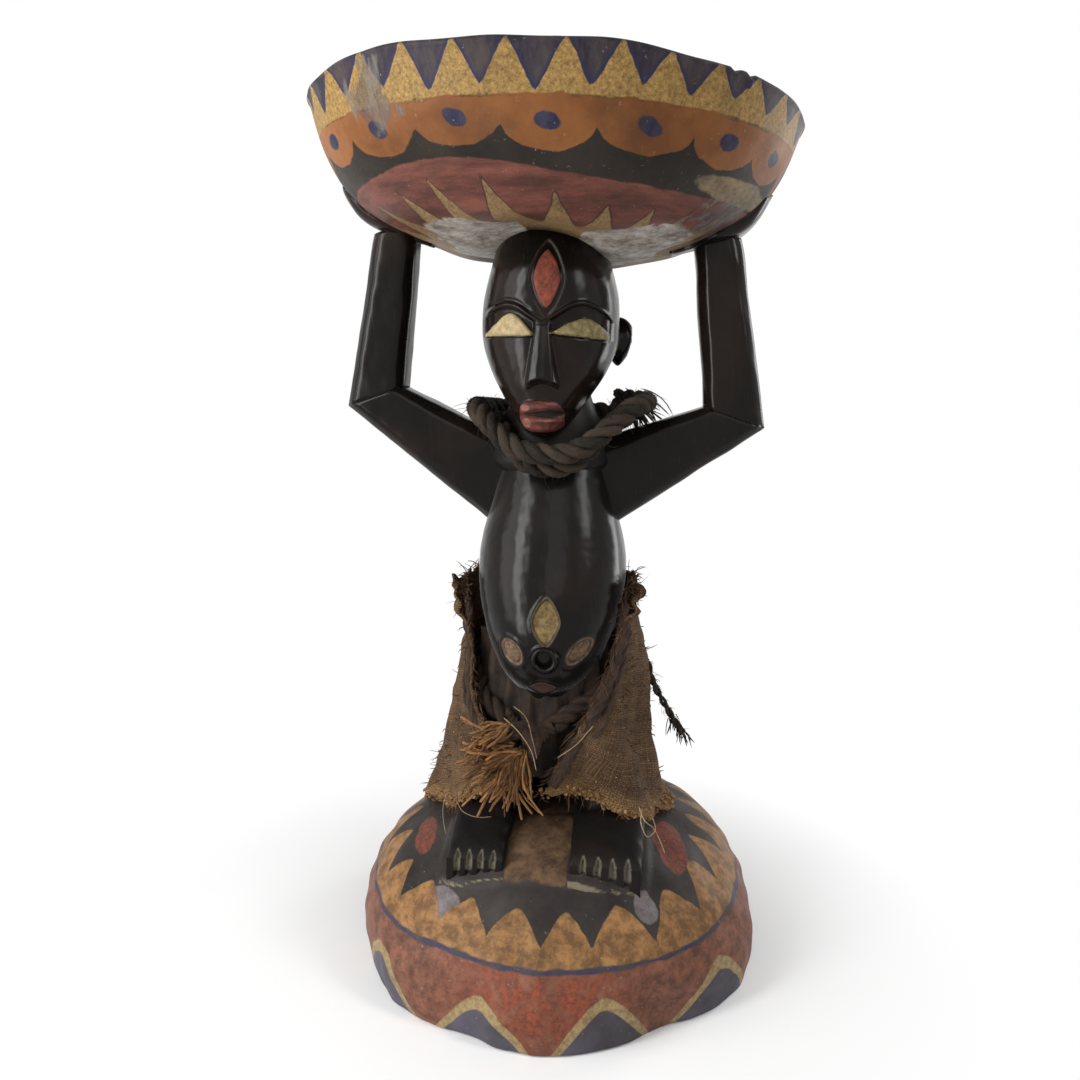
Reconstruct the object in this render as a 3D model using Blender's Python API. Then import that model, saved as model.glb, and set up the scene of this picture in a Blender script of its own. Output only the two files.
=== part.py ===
"""A caryatid stool: a carved figure on a domed base carries a dished seat on head and hands.

The figure faces -Y and stands on z = 0. Left and right are the viewer's, so left is -X.
The carving is made in sections that seat in each other by tenons, housings and fitted faces.
Rope, cloth, belt, tassel and cord are separate pieces that lie on the carving.
"""

import math

import bmesh
import bpy
import numpy as np
from mathutils import Matrix, Vector

# Fits
FIT = 0.0003  # gap between pieces that seat in each other
LAY = 0.0006  # gap under a soft piece that lies on another
FOLD_LAY = 0.0013  # gap under a rope that crosses the cloth's folds, measured level

# Base: a dome on a flat foot, a little to the right of the figure's axis
BASE_OFFSET = 0.008
BASE_FOOT_RADIUS = 0.122
BASE_RADIUS = 0.124
BASE_BELLY_HEIGHT = 0.018
BASE_HEIGHT = 0.095
BASE_STEPS = 40
BASE_FOOT_RINGS = 3
BASE_DOME_RINGS = 12

# Feet, on the front of the dome
FOOT_TIP = 0.083  # toes in front of the figure's axis
FOOT_HEEL = 0.038
FOOT_TOE_THICKNESS = 0.013
FOOT_INSTEP_THICKNESS = 0.020
FOOT_CHAMFER = 0.003
FOOT_TENON_RADIUS = 0.008
FOOT_TENON_DEPTH = 0.012
LEFT_FOOT_X = -0.031
LEFT_FOOT_WIDTH = 0.034
RIGHT_FOOT_X = 0.043
RIGHT_FOOT_WIDTH = 0.042
TOE_COUNT = 5
TOE_NOTCH = 0.0035
TOE_LENGTH = 0.012
TOE_LEAN = math.radians(38)  # a notch's slope, from the foot's front edge down and back

# Legs, between feet and hips
ANKLE_RADIUS = 0.015
CALF_RADIUS = 0.017
THIGH_RADIUS = 0.018
LEG_SPLIT = 0.004  # between the thighs
THIGH_DROP = 0.013  # a leg's upper end below the belly's lowest point
LEG_HOUSING = 0.008  # how far an ankle is let into its foot
ANKLE_FORWARD = 0.044  # ankle in front of the figure's axis
LEG_OUTLINE = [(0.0, ANKLE_RADIUS), (0.25, ANKLE_RADIUS), (0.6, CALF_RADIUS), (1.0, THIGH_RADIUS)]  # share, radius
LEG_SIDES = 16

# Torso and hips
BELLY_RISE = 0.069  # the belly's lowest point above the base
TORSO_HEIGHT = 0.146
TORSO_OFFSET = 0.003
TORSO_HALF_WIDTH = 0.0445
TORSO_FRONT = 0.056
TORSO_BACK = 0.032
NECK_RADIUS = 0.021
NECK_RISE = 0.045  # neck post above the chest
HIP_RADIUS = 0.044
HIP_DEPTH = 0.035
HIP_HALF_HEIGHT = 0.027
HIP_DROP = 0.008  # the hips' centre below the belly's lowest point
WAIST_TENON_RADIUS = 0.013
WAIST_TENON_LENGTH = 0.020
NAVEL_RISE = 0.037
NAVEL_RADIUS = 0.0078
NAVEL_BORE = 0.0045
NAVEL_LENGTH = 0.007
TORSO_SEGMENTS, TORSO_RINGS = 32, 22
HIP_SEGMENTS, HIP_RINGS = 24, 14

# Head: an egg with its crown let into the seat
CHIN_RISE = 0.011  # chin above the chest
HEAD_HEIGHT = 0.131
HEAD_HALF_WIDTH = 0.040
HEAD_FRONT = 0.050
HEAD_BACK = 0.042
HEAD_FORWARD = 0.006
CROWN_SEAT = 0.030  # depth of the crown's socket in the seat
EYE_RISE = 0.0576  # eye line above the chin
NOSE_ROOT = 0.006  # its upper end above the eye line
NOSE_LENGTH = 0.033
NOSE_HALF_WIDTH = 0.0085
NOSE_HEIGHT = 0.011
LIP_DROP = 0.043  # below the eye line
LIP_HALF_WIDTH = 0.0135
LIP_HALF_HEIGHT = 0.008
LIP_HEIGHT = 0.006
BROW_RISE = 0.0135  # above the eye line
BROW_ARCH = 0.004
BROW_HALF_WIDTH = 0.036
BROW_HALF_HEIGHT = 0.004
BROW_HEIGHT = 0.0035
EAR_HEIGHT = 0.024
EAR_WIDTH = 0.007
EAR_DEPTH = 0.013
EAR_SINK = 0.0025  # its middle inside the head's widest point
EAR_BACK = 0.016  # its middle behind the figure's axis
HEAD_SEGMENTS, HEAD_RINGS = 36, 30
EAR_SEGMENTS, EAR_RINGS = 12, 10

# Seat: a bowl-shaped block with a dished top, tipped down to the right
RIM_RADIUS = 0.138
SEAT_DEPTH = 0.078
SEAT_LEAN = math.radians(2.2)
SEAT_TAPER = 0.16
SEAT_FULLNESS = 3.6
SEAT_CORNER = 0.46
SEAT_STEPS = 40
SEAT_RINGS = 14
DISH_RINGS = 6
RIM_WIDTH = 0.009
DISH_DEPTH = 0.016
DISH_FLOOR_RADIUS = 0.048

# Arms: faceted wedges, each elbow at its own height above the chest
ARM_CHAMFER = 0.005
ELBOW_OUT = 0.125
ELBOW_IN = 0.089
LEFT_ELBOW_RISE = 0.028
RIGHT_ELBOW_RISE = 0.019
ELBOW_SLANT = 0.012  # the elbow's inner corner above its outer one
SHOULDER_X = 0.028  # inner end of an upper arm, inside the torso
SHOULDER_TOP = 0.011
SHOULDER_DROP = 0.048
SHOULDER_DEPTH = 0.038
ELBOW_DEPTH = 0.028
WRIST_DEPTH = 0.026
WRIST_OUT = 0.096  # forearm's outer edge, drawn up to the rim's height
WRIST_IN = 0.074
ELBOW_TENON_RADIUS = 0.006
ELBOW_TENON_LENGTH = 0.009
WRIST_TENON_RADIUS = 0.005
WRIST_TENON_LENGTH = 0.017
WRIST_TENON_CLEAR = 0.006  # its end below the seat

# Hands: paddles of even thickness against the seat's underside
HAND_THICKNESS = 0.0075
HAND_INSET = 0.015  # fingertips inside the rim's radius
HAND_HEEL = 0.074
HAND_WIDTH = 0.044
HAND_TIP_WIDTH = 0.034
HAND_CORNER = 0.010
HAND_CORNER_STEPS = 4

# Ropes and cord
NECK_ROPE = 0.012  # diameter
NECK_ROPE_TURNS = 2
NECK_ROPE_GAP = 0.0025  # between its turns
NECK_ROPE_STACK = math.radians(35)  # how steeply each turn lies on the outside of the last
NECK_ROPE_EASE = 0.004  # between the neck and its first turn
NECK_ROPE_CHIN_GAP = 0.0005  # its top below the chin where it last passes the front
NECK_ROPE_SWEEP = 4  # how late it drops from the shoulders to the front
NECK_ROPE_FLATTEN = 0.92
NECK_ROPE_FULLNESS = 0.75  # under 1, its turns are squarer than an ellipse
NECK_ROPE_START = math.radians(60)
POINTS_PER_TURN = 24
WAIST_ROPE = 0.011
WAIST_ROPE_DROP = 0.014  # its front below the belly's lowest point
WAIST_ROPE_RISE = 0.034  # its back above that point
WAIST_ROPE_SWEEP = 0.65  # how early it rises from the front to the sides
WAIST_ROPE_ROUND = 0.10  # how round the turn is at its lowest point
WAIST_ROPE_POINTS = 45
KNOT_RADIUS = 0.0105
KNOT_HALF_ANGLE = math.radians(15)
KNOT_POINTS = 10
KNOT_PROUD = 0.008  # its middle outside the cloth's surface
KNOT_ANGLE = math.radians(-8)  # its middle from the front towards the right
ROPE_ROUNDNESS = 1
BELT_ROUNDNESS = 2
HANGING_CORD = 0.006
HANGING_CORD_ANGLE = math.radians(88)  # from the front towards the right
HANGING_CORD_RISE = 0.020  # its upper end above the belly's lowest point
# How far each of its points lies outward from the cloth, and up from its upper end
HANGING_CORD_POINTS = [(0.0, 0.0), (0.001, -0.011), (0.005, -0.023), (0.009, -0.034), (0.014, -0.045)]

# Cloth
CLOTH_OFFSET = 0.001
CLOTH = 0.003  # thickness
CLOTH_RISE = 0.072  # its top above the belly's lowest point
CLOTH_CLEAR = 0.005  # its hem above the dome at the back and sides
CLOTH_FRONT_RISE = 0.030  # how much higher the hem is at the front
CLOTH_DROP = 0.148  # from its top to where it flares to the hem's radius
CLOTH_EASE = 0.007  # its top outside the torso's widest point
CLOTH_HEM_EASE = 0.0035  # its hem outside the ankles, before the folds, whose crests pass them
CLOTH_FLATTEN = 0.90
CLOTH_FLARE = 2.0  # over 1, it flares most towards the hem
CLOTH_FOLD_START = 1.5  # over 1, its folds deepen most towards the hem
CLOTH_FOLDS = 8
CLOTH_FOLD_DEPTH = 0.0045
CLOTH_LEFT_EDGE = math.radians(10)
CLOTH_RIGHT_EDGE = math.radians(2)
CLOTH_EDGE_SLANT = math.radians(58)  # how far the front edges draw apart towards the top
CLOTH_COLUMNS = 60
CLOTH_ROWS = 7

# Tassel: a fan of straws below the knot
TASSEL_CLEAR = 0.019  # its tip above the left foot
TASSEL_HALF_WIDTH = 0.021
TASSEL_TOP_HALF_WIDTH = 0.005
TASSEL_THICKNESS = 0.011
TASSEL_TOP_THICKNESS = 0.0055
TASSEL_STRAWS = 11
TASSEL_RIB = 0.16  # a rib's height as a share of the tassel's own half width and thickness
TASSEL_RAGGED = 0.006  # how far straws end above or below its tip
TASSEL_SWING = 0.009  # to the left at its tip
TASSEL_FORWARD = 0.013  # to the front at its tip
TASSEL_RINGS = (0.0, 0.25, 0.55, 0.85, 1.0)

# Heights that stack up from the floor
BELLY_BOTTOM = BASE_HEIGHT + BELLY_RISE
CHEST_TOP = BELLY_BOTTOM + TORSO_HEIGHT
CHIN = CHEST_TOP + CHIN_RISE
CROWN = CHIN + HEAD_HEIGHT
SEAT_BOTTOM = CROWN - CROWN_SEAT
RIM = SEAT_BOTTOM + SEAT_DEPTH
CLOTH_TOP = BELLY_BOTTOM + CLOTH_RISE
WAIST_ROPE_FRONT = BELLY_BOTTOM - WAIST_ROPE_DROP
WAIST_ROPE_BACK = BELLY_BOTTOM + WAIST_ROPE_RISE

# Sizes that follow from what a piece goes round or meets
NECK_ROPE_RADIUS = NECK_RADIUS + NECK_ROPE_EASE + NECK_ROPE / 2
CLOTH_WAIST_RADIUS = TORSO_HALF_WIDTH + CLOTH_EASE
ANKLE_REACH = math.hypot(RIGHT_FOOT_X + ANKLE_RADIUS - CLOTH_OFFSET, ANKLE_FORWARD / CLOTH_FLATTEN)
CLOTH_HEM_RADIUS = ANKLE_REACH + CLOTH_HEM_EASE
HAND_TIP = RIM_RADIUS - HAND_INSET
KNOT_STEP = 2 * KNOT_HALF_ANGLE / KNOT_POINTS  # the knot's end steps, and the belt's, are in line

# Finishes: colour and roughness
FINISHES = {
    "black_wood": ((0.022, 0.017, 0.014), 0.35),
    "painted_wood": ((0.30, 0.15, 0.06), 0.7),
    "dark_rope": ((0.075, 0.052, 0.036), 0.85),
    "raffia_cloth": ((0.16, 0.095, 0.05), 0.9),
    "straw": ((0.24, 0.12, 0.045), 0.8),
}
SHARP_ANGLE = math.radians(40)  # edges sharper than this stay crisp on round pieces
TURNED_SHARP_ANGLE = math.radians(50)
FACET_SHARP_ANGLE = math.radians(20)
PEG_SIDES = 16


def clear_scene():
    for thing in list(bpy.data.objects):
        bpy.data.objects.remove(thing, do_unlink=True)


def finish_of(name):
    """The material of that name, with its colour and roughness."""
    made = bpy.data.materials.get(name)
    if made is None:
        colour, roughness = FINISHES[name]
        made = bpy.data.materials.new(name)
        made.use_nodes = True
        shader = made.node_tree.nodes["Principled BSDF"]
        shader.inputs["Base Color"].default_value = (*colour, 1.0)
        shader.inputs["Roughness"].default_value = roughness
        shader.inputs["Metallic"].default_value = 0.0
    return made


def piece(name, bm, finish="black_wood"):
    """An object from a bmesh, with its faces turned outwards."""
    bmesh.ops.remove_doubles(bm, verts=bm.verts, dist=1e-6)
    bmesh.ops.recalc_face_normals(bm, faces=bm.faces)
    mesh = bpy.data.meshes.new(name)
    bm.to_mesh(mesh)
    bm.free()
    mesh.materials.append(finish_of(finish))
    made = bpy.data.objects.new(name, mesh)
    bpy.context.scene.collection.objects.link(made)
    return made


def smooth(thing, angle=SHARP_ANGLE):
    thing.data.shade_smooth()
    thing.data.set_sharp_from_angle(angle=angle)


def combine(target, operation, tools):
    """Cuts tools from target, or joins or intersects them with it, and removes the tools."""
    for tool in tools:
        change = target.modifiers.new(operation.lower(), "BOOLEAN")
        change.operation = operation
        change.solver = "EXACT"
        change.object = tool
        graph = bpy.context.evaluated_depsgraph_get()
        mesh = bpy.data.meshes.new_from_object(target.evaluated_get(graph))
        target.modifiers.remove(change)
        old = target.data
        target.data = mesh
        mesh.name = target.name
        bpy.data.meshes.remove(old)
        bpy.data.objects.remove(tool, do_unlink=True)


def grown(thing, by=FIT):
    """A copy whose surface stands the same distance outside the piece's own."""
    bm = bmesh.new()
    bm.from_mesh(thing.data)
    bm.normal_update()
    moves = [v.normal * by * v.calc_shell_factor() for v in bm.verts]
    for vertex, move in zip(bm.verts, moves):
        vertex.co += move
    return piece(thing.name + "_room", bm)


def cut_by(target, *neighbours):
    """Makes room in target for neighbours that stay whole."""
    combine(target, "DIFFERENCE", [grown(n) for n in neighbours])


def spun(name, outline, steps, finish="black_wood"):
    """A turned solid from (radius, height) points, listed from the axis round to the axis."""
    bm = bmesh.new()
    points = [bm.verts.new((r, 0.0, z)) for r, z in outline]
    edges = [bm.edges.new(pair) for pair in zip(points, points[1:])]
    bmesh.ops.spin(
        bm, geom=points + edges, cent=(0, 0, 0), axis=(0, 0, 1), angle=math.tau, steps=steps, use_merge=True
    )
    return piece(name, bm, finish)


def bridge(bm, loops):
    """Joins loops of vertices, in order, into one closed skin with filled ends."""
    for low, high in zip(loops, loops[1:]):
        between = set(low) | set(high)
        bmesh.ops.bridge_loops(bm, edges=[e for e in bm.edges if set(e.verts) <= between])
    bm.faces.new(loops[0])
    bm.faces.new(loops[-1])


def peg(name, start, end, radius):
    """A round tenon between two points."""
    start, end = Vector(start), Vector(end)
    along = end - start
    bm = bmesh.new()
    turn = along.to_track_quat("Z", "Y").to_matrix().to_4x4()
    bmesh.ops.create_cone(
        bm,
        cap_ends=True,
        segments=PEG_SIDES,
        radius1=radius,
        radius2=radius,
        depth=along.length,
        matrix=Matrix.Translation((start + end) / 2) @ turn,
    )
    return piece(name, bm)


def tenon(host, mate, start, end, radius):
    """Gives host a round tenon from start, inside it, to end, inside mate, and mate its socket."""
    start, end = Vector(start), Vector(end)
    further = end + (end - start).normalized() * FIT
    combine(mate, "DIFFERENCE", [peg("socket", start, further, radius + FIT)])
    combine(host, "UNION", [peg("tenon", start, end, radius)])


def prism(name, front, half_depths, chamfer):
    """A faceted bar from four corners in the XZ plane, each with its own half depth, and chamfered long edges.

    The long edges run from the second corner to the third, and from the fourth to the first.
    """
    bm = bmesh.new()
    near = [bm.verts.new((x, -d, z)) for (x, z), d in zip(front, half_depths)]
    far = [bm.verts.new((x, d, z)) for (x, z), d in zip(front, half_depths)]
    bm.faces.new(near)
    bm.faces.new(far)
    count = len(front)
    for i in range(count):
        j = (i + 1) % count
        bm.faces.new((near[i], near[j], far[j], far[i]))
    bmesh.ops.recalc_face_normals(bm, faces=bm.faces)
    pairs = [(near[1], near[2]), (near[3], near[0]), (far[1], far[2]), (far[3], far[0])]
    edges = [bm.edges.get(pair) for pair in pairs]
    bevel(bm, edges, chamfer, 1)
    return piece(name, bm)


def bevel(bm, edges, width, steps):
    bmesh.ops.bevel(
        bm, geom=edges, offset=width, segments=steps, profile=0.5, affect="EDGES", material=-1, clamp_overlap=True
    )


def dome_radius(z):
    """The base's radius at a height."""
    if z <= BASE_BELLY_HEIGHT:
        share = z / BASE_BELLY_HEIGHT
        return BASE_FOOT_RADIUS + (BASE_RADIUS - BASE_FOOT_RADIUS) * math.sin(share * math.pi / 2)
    share = (z - BASE_BELLY_HEIGHT) / (BASE_HEIGHT - BASE_BELLY_HEIGHT)
    return BASE_RADIUS * max(0.0, 1 - share**2) ** (1 / 3)


def dome_height(radius):
    """The height of the dome's surface at a radius from the base's axis."""
    share = min(1.0, radius / BASE_RADIUS)
    return BASE_BELLY_HEIGHT + (BASE_HEIGHT - BASE_BELLY_HEIGHT) * math.sqrt(1 - share**3)


def make_base():
    rise = BASE_HEIGHT - BASE_BELLY_HEIGHT
    low = [BASE_BELLY_HEIGHT * i / BASE_FOOT_RINGS for i in range(BASE_FOOT_RINGS + 1)]
    turns = [math.pi / 2 * i / BASE_DOME_RINGS for i in range(1, BASE_DOME_RINGS)]
    high = [BASE_BELLY_HEIGHT + rise * math.sin(turn) for turn in turns]
    outline = [(0.0, BASE_HEIGHT)]
    outline += [(dome_radius(z), z) for z in reversed(low + high)]
    outline += [(0.0, 0.0)]
    base = spun("base", outline, BASE_STEPS, "painted_wood")
    base.data.transform(Matrix.Translation((BASE_OFFSET, 0, 0)))
    smooth(base, TURNED_SHARP_ANGLE)
    return base


def dome_under(x, y):
    return dome_height(math.hypot(x - BASE_OFFSET, y))


def foot_top(x, y):
    """The height of a foot's upper face, which slopes from instep to toes, at a place."""
    toes = dome_under(x, -FOOT_TIP) + FOOT_TOE_THICKNESS
    instep = dome_under(x, -FOOT_HEEL) + FOOT_INSTEP_THICKNESS
    return toes + (instep - toes) * (y + FOOT_TIP) / (FOOT_TIP - FOOT_HEEL)


def make_foot(name, base, x, width):
    """A block that follows the dome's slope, with toes notched into its front."""
    tip, heel = -FOOT_TIP, -FOOT_HEEL
    toe_top = foot_top(x, tip)
    sunk = dome_under(x, tip) - FOOT_TENON_DEPTH
    bm = bmesh.new()
    side = [(tip, sunk), (tip, toe_top), (heel, foot_top(x, heel)), (heel, sunk)]
    face = bm.faces.new([bm.verts.new((x - width / 2, y, z)) for y, z in side])
    drawn = bmesh.ops.extrude_face_region(bm, geom=[face])
    moved = [g for g in drawn["geom"] if isinstance(g, bmesh.types.BMVert)]
    bmesh.ops.translate(bm, verts=moved, vec=(width, 0, 0))
    bmesh.ops.recalc_face_normals(bm, faces=bm.faces)
    rounded = [e for e in bm.edges if max(v.co.z for v in e.verts) > sunk + FOOT_CHAMFER]
    bevel(bm, rounded, FOOT_CHAMFER, 2)
    foot = piece(name, bm)
    for i in range(1, TOE_COUNT):
        across = x - width / 2 + width * i / TOE_COUNT
        combine(foot, "DIFFERENCE", [toe_notch(across, tip, toe_top)])
    cut_by(foot, base)
    middle = (tip + heel) / 2
    floor = dome_under(x, middle)
    start = (x, middle, floor + FOOT_TOE_THICKNESS / 2)
    tenon(foot, base, start, (x, middle, floor - FOOT_TENON_DEPTH), FOOT_TENON_RADIUS)
    smooth(foot)
    return foot


def toe_notch(x, tip, top):
    """A square bar on edge, along a toe's side, that cuts a V into the foot's front and top."""
    bm = bmesh.new()
    lean = Matrix.Rotation(TOE_LEAN, 4, "X")
    on_edge = Matrix.Rotation(math.pi / 4, 4, "Y")
    shape = Matrix.Diagonal((TOE_NOTCH, TOE_LENGTH * 2, TOE_NOTCH, 1.0))
    place = Matrix.Translation((x, tip, top)) @ lean @ on_edge @ shape
    bmesh.ops.create_cube(bm, size=1.0, matrix=place)
    return piece("toe_notch", bm)


def make_leg(name, foot, foot_x, hip_x):
    """A short thick leg from its foot back and up to the hips."""
    instep = foot_top(foot_x, -FOOT_HEEL)
    ankle = Vector((foot_x, -ANKLE_FORWARD, instep - LEG_HOUSING))
    hip = Vector((hip_x, 0.0, BELLY_BOTTOM - THIGH_DROP))
    bm = bmesh.new()
    loops = []
    for share, radius in LEG_OUTLINE:
        place = Matrix.Translation(ankle.lerp(hip, share))
        made = bmesh.ops.create_circle(bm, segments=LEG_SIDES, radius=radius, matrix=place)
        loops.append(made["verts"])
    bridge(bm, loops)
    leg = piece(name, bm)
    smooth(leg)
    cut_by(foot, leg)
    return leg


def blend(points, share):
    """The value at share on a smooth curve through (share, value) points."""
    at = np.array([p[0] for p in points])
    value = np.array([p[1] for p in points])
    slope = np.gradient(value, at)
    i = int(np.clip(np.searchsorted(at, share) - 1, 0, len(at) - 2))
    gap = at[i + 1] - at[i]
    t = (share - at[i]) / gap
    low = (1 + 2 * t) * (1 - t) ** 2 * value[i] + t * (1 - t) ** 2 * gap * slope[i]
    high = t * t * (3 - 2 * t) * value[i + 1] + t * t * (t - 1) * gap * slope[i + 1]
    return float(low + high)


# Outlines of the torso and the head, as shares of their height and of their largest half width.
TORSO_OUTLINE = [
    (0.0, 0.0), (0.04, 0.34), (0.12, 0.66), (0.23, 0.88), (0.38, 1.0),
    (0.55, 0.99), (0.70, 0.92), (0.86, 0.79), (0.95, 0.60), (1.0, 0.0),
]
TORSO_FRONT_OUTLINE = [
    (0.0, 0.0), (0.03, 0.50), (0.10, 0.80), (0.26, 1.0), (0.45, 0.98),
    (0.65, 0.82), (0.86, 0.64), (0.95, 0.46), (1.0, 0.0),
]
HEAD_OUTLINE = [
    (0.0, 0.0), (0.03, 0.24), (0.08, 0.42), (0.16, 0.60), (0.28, 0.79), (0.42, 0.95),
    (0.55, 1.0), (0.72, 0.95), (0.86, 0.80), (0.96, 0.48), (1.0, 0.0),
]
HEAD_FRONT_OUTLINE = [
    (0.0, 0.0), (0.03, 0.64), (0.08, 0.82), (0.16, 0.88), (0.30, 0.93), (0.45, 0.98),
    (0.60, 1.0), (0.74, 0.95), (0.86, 0.80), (0.96, 0.48), (1.0, 0.0),
]


def egg(name, bottom, height, half_width, front, back, outlines, segments, rings, relief=None):
    """A sphere drawn to outlines of width and depth by height, with relief added to its front."""
    width_outline, front_outline = outlines
    bm = bmesh.new()
    bmesh.ops.create_uvsphere(bm, u_segments=segments, v_segments=rings, radius=1.0)
    for vertex in bm.verts:
        share = min(1.0, max(0.0, (vertex.co.z + 1) / 2))
        flat = math.hypot(vertex.co.x, vertex.co.y)
        across, along = (vertex.co.x / flat, vertex.co.y / flat) if flat > 1e-6 else (0.0, 0.0)
        z = bottom + height * share
        x = across * half_width * blend(width_outline, share)
        reach = front * blend(front_outline, share) if along < 0 else back * blend(width_outline, share)
        y = along * reach
        if relief and along < 0:
            y -= relief(x, z) * min(1.0, -2 * along)
        vertex.co = (x, y, z)
    return piece(name, bm)


def make_torso():
    torso = egg(
        "torso",
        BELLY_BOTTOM,
        TORSO_HEIGHT,
        TORSO_HALF_WIDTH,
        TORSO_FRONT,
        TORSO_BACK,
        (TORSO_OUTLINE, TORSO_FRONT_OUTLINE),
        TORSO_SEGMENTS,
        TORSO_RINGS,
    )
    torso.data.transform(Matrix.Translation((TORSO_OFFSET, 0, 0)))
    neck_foot = (0.0, 0.0, CHEST_TOP - NECK_RADIUS)
    neck_top = (0.0, 0.0, CHEST_TOP + NECK_RISE)
    navel_z = BELLY_BOTTOM + NAVEL_RISE
    surface = TORSO_FRONT * blend(TORSO_FRONT_OUTLINE, NAVEL_RISE / TORSO_HEIGHT)
    deep = (TORSO_OFFSET, -surface + NAVEL_LENGTH, navel_z)
    proud = (TORSO_OFFSET, -surface - NAVEL_LENGTH / 2, navel_z - NAVEL_LENGTH / 4)
    bore_end = (TORSO_OFFSET, -surface - NAVEL_LENGTH, navel_z - NAVEL_LENGTH / 2)
    combine(torso, "UNION", [peg("neck", neck_foot, neck_top, NECK_RADIUS)])
    combine(torso, "UNION", [peg("navel", deep, proud, NAVEL_RADIUS)])
    combine(torso, "DIFFERENCE", [peg("navel_bore", deep, bore_end, NAVEL_BORE)])
    smooth(torso)
    return torso


def make_hips(torso, legs):
    bm = bmesh.new()
    centre = Vector((TORSO_OFFSET, 0.0, BELLY_BOTTOM - HIP_DROP))
    shape = Matrix.Diagonal((HIP_RADIUS, HIP_DEPTH, HIP_HALF_HEIGHT, 1.0))
    place = Matrix.Translation(centre) @ shape
    bmesh.ops.create_uvsphere(bm, u_segments=HIP_SEGMENTS, v_segments=HIP_RINGS, radius=1.0, matrix=place)
    hips = piece("hips", bm)
    cut_by(hips, torso, *legs)
    start = (TORSO_OFFSET, 0.0, BELLY_BOTTOM + WAIST_TENON_LENGTH)
    tenon(torso, hips, start, (TORSO_OFFSET, 0.0, BELLY_BOTTOM - WAIST_TENON_LENGTH / 2), WAIST_TENON_RADIUS)
    smooth(hips)
    return hips


def face_relief(x, z):
    """How far the carved face stands out of the egg: brow, nose and lips."""
    eye = CHIN + EYE_RISE
    side = abs(x)
    down = (eye + NOSE_ROOT - z) / NOSE_LENGTH
    nose = 0.0
    if 0.0 < down < 1.0:
        half = NOSE_HALF_WIDTH * (1 + down) / 2
        nose = NOSE_HEIGHT * (1 + 2 * down) / 3 * max(0.0, 1 - (side / half) ** 2)
    brow_z = eye + BROW_RISE + BROW_ARCH * math.cos(side / HEAD_HALF_WIDTH * math.pi)
    brow = BROW_HEIGHT * math.exp(-(((z - brow_z) / BROW_HALF_HEIGHT) ** 2)) if side < BROW_HALF_WIDTH else 0.0
    lip = math.exp(-(((z - eye + LIP_DROP) / LIP_HALF_HEIGHT) ** 2))
    lips = LIP_HEIGHT * lip * max(0.0, 1 - (side / LIP_HALF_WIDTH) ** 4)
    return max(nose, brow, lips)


def make_head(torso):
    head = egg(
        "head",
        CHIN,
        HEAD_HEIGHT,
        HEAD_HALF_WIDTH,
        HEAD_FRONT,
        HEAD_BACK,
        (HEAD_OUTLINE, HEAD_FRONT_OUTLINE),
        HEAD_SEGMENTS,
        HEAD_RINGS,
        face_relief,
    )
    head.data.transform(Matrix.Translation((0, -HEAD_FORWARD, 0)))
    for side in (-1, 1):
        bm = bmesh.new()
        centre = (side * (HEAD_HALF_WIDTH - EAR_SINK), EAR_BACK, CHIN + EYE_RISE)
        place = Matrix.Translation(centre) @ Matrix.Diagonal((EAR_WIDTH, EAR_DEPTH / 2, EAR_HEIGHT / 2, 1.0))
        bmesh.ops.create_uvsphere(bm, u_segments=EAR_SEGMENTS, v_segments=EAR_RINGS, radius=1.0, matrix=place)
        combine(head, "UNION", [piece("ear", bm)])
    cut_by(head, torso)
    smooth(head)
    return head


def seat_radius(share, out=0.0):
    """The seat's outer radius at a share of its depth below the rim, optionally of a thicker seat."""
    wall = (1 - SEAT_TAPER * share) * max(0.0, 1 - share**SEAT_FULLNESS) ** SEAT_CORNER
    return (RIM_RADIUS + out) * wall


def lean_seat(thing):
    """Tips the seat about its rim's middle, down to the right."""
    middle = Vector((0, 0, RIM))
    turn = Matrix.Translation(middle) @ Matrix.Rotation(SEAT_LEAN, 4, "Y") @ Matrix.Translation(-middle)
    thing.data.transform(turn)
    return thing


def seat_outer(out=0.0):
    """Points of the seat's outside from rim to bottom, for a seat that is thicker by out."""
    shares = [math.sin(math.pi / 2 * i / SEAT_RINGS) for i in range(SEAT_RINGS + 1)]
    return [(seat_radius(s, out), RIM - (SEAT_DEPTH + out) * s) for s in shares]


def make_seat():
    inner = RIM_RADIUS - RIM_WIDTH
    outline = [(0.0, RIM - DISH_DEPTH)]
    for i in range(DISH_RINGS + 1):
        share = i / DISH_RINGS
        radius = DISH_FLOOR_RADIUS + (inner - DISH_FLOOR_RADIUS) * share
        outline.append((radius, RIM - DISH_DEPTH * math.sqrt(1 - share**2)))
    seat = spun("seat_bowl", outline + seat_outer(), SEAT_STEPS, "painted_wood")
    lean_seat(seat)
    smooth(seat, TURNED_SHARP_ANGLE)
    return seat


def thicker_seat(out):
    """The seat's outside, offset outwards and filled to above the rim, as a shaping tool."""
    outline = [(0.0, RIM + out), (RIM_RADIUS + out, RIM + out)]
    return lean_seat(spun("seat_room", outline + seat_outer(out), SEAT_STEPS))


def under_seat(x):
    """The height of the seat's underside at x, by the figure's plane, with its lean."""
    shares = np.linspace(0, 1, 400)
    radii = np.array([seat_radius(s) for s in shares])
    share = float(np.interp(-abs(x), -radii, shares))
    return RIM - SEAT_DEPTH * share - x * math.tan(SEAT_LEAN)


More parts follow.
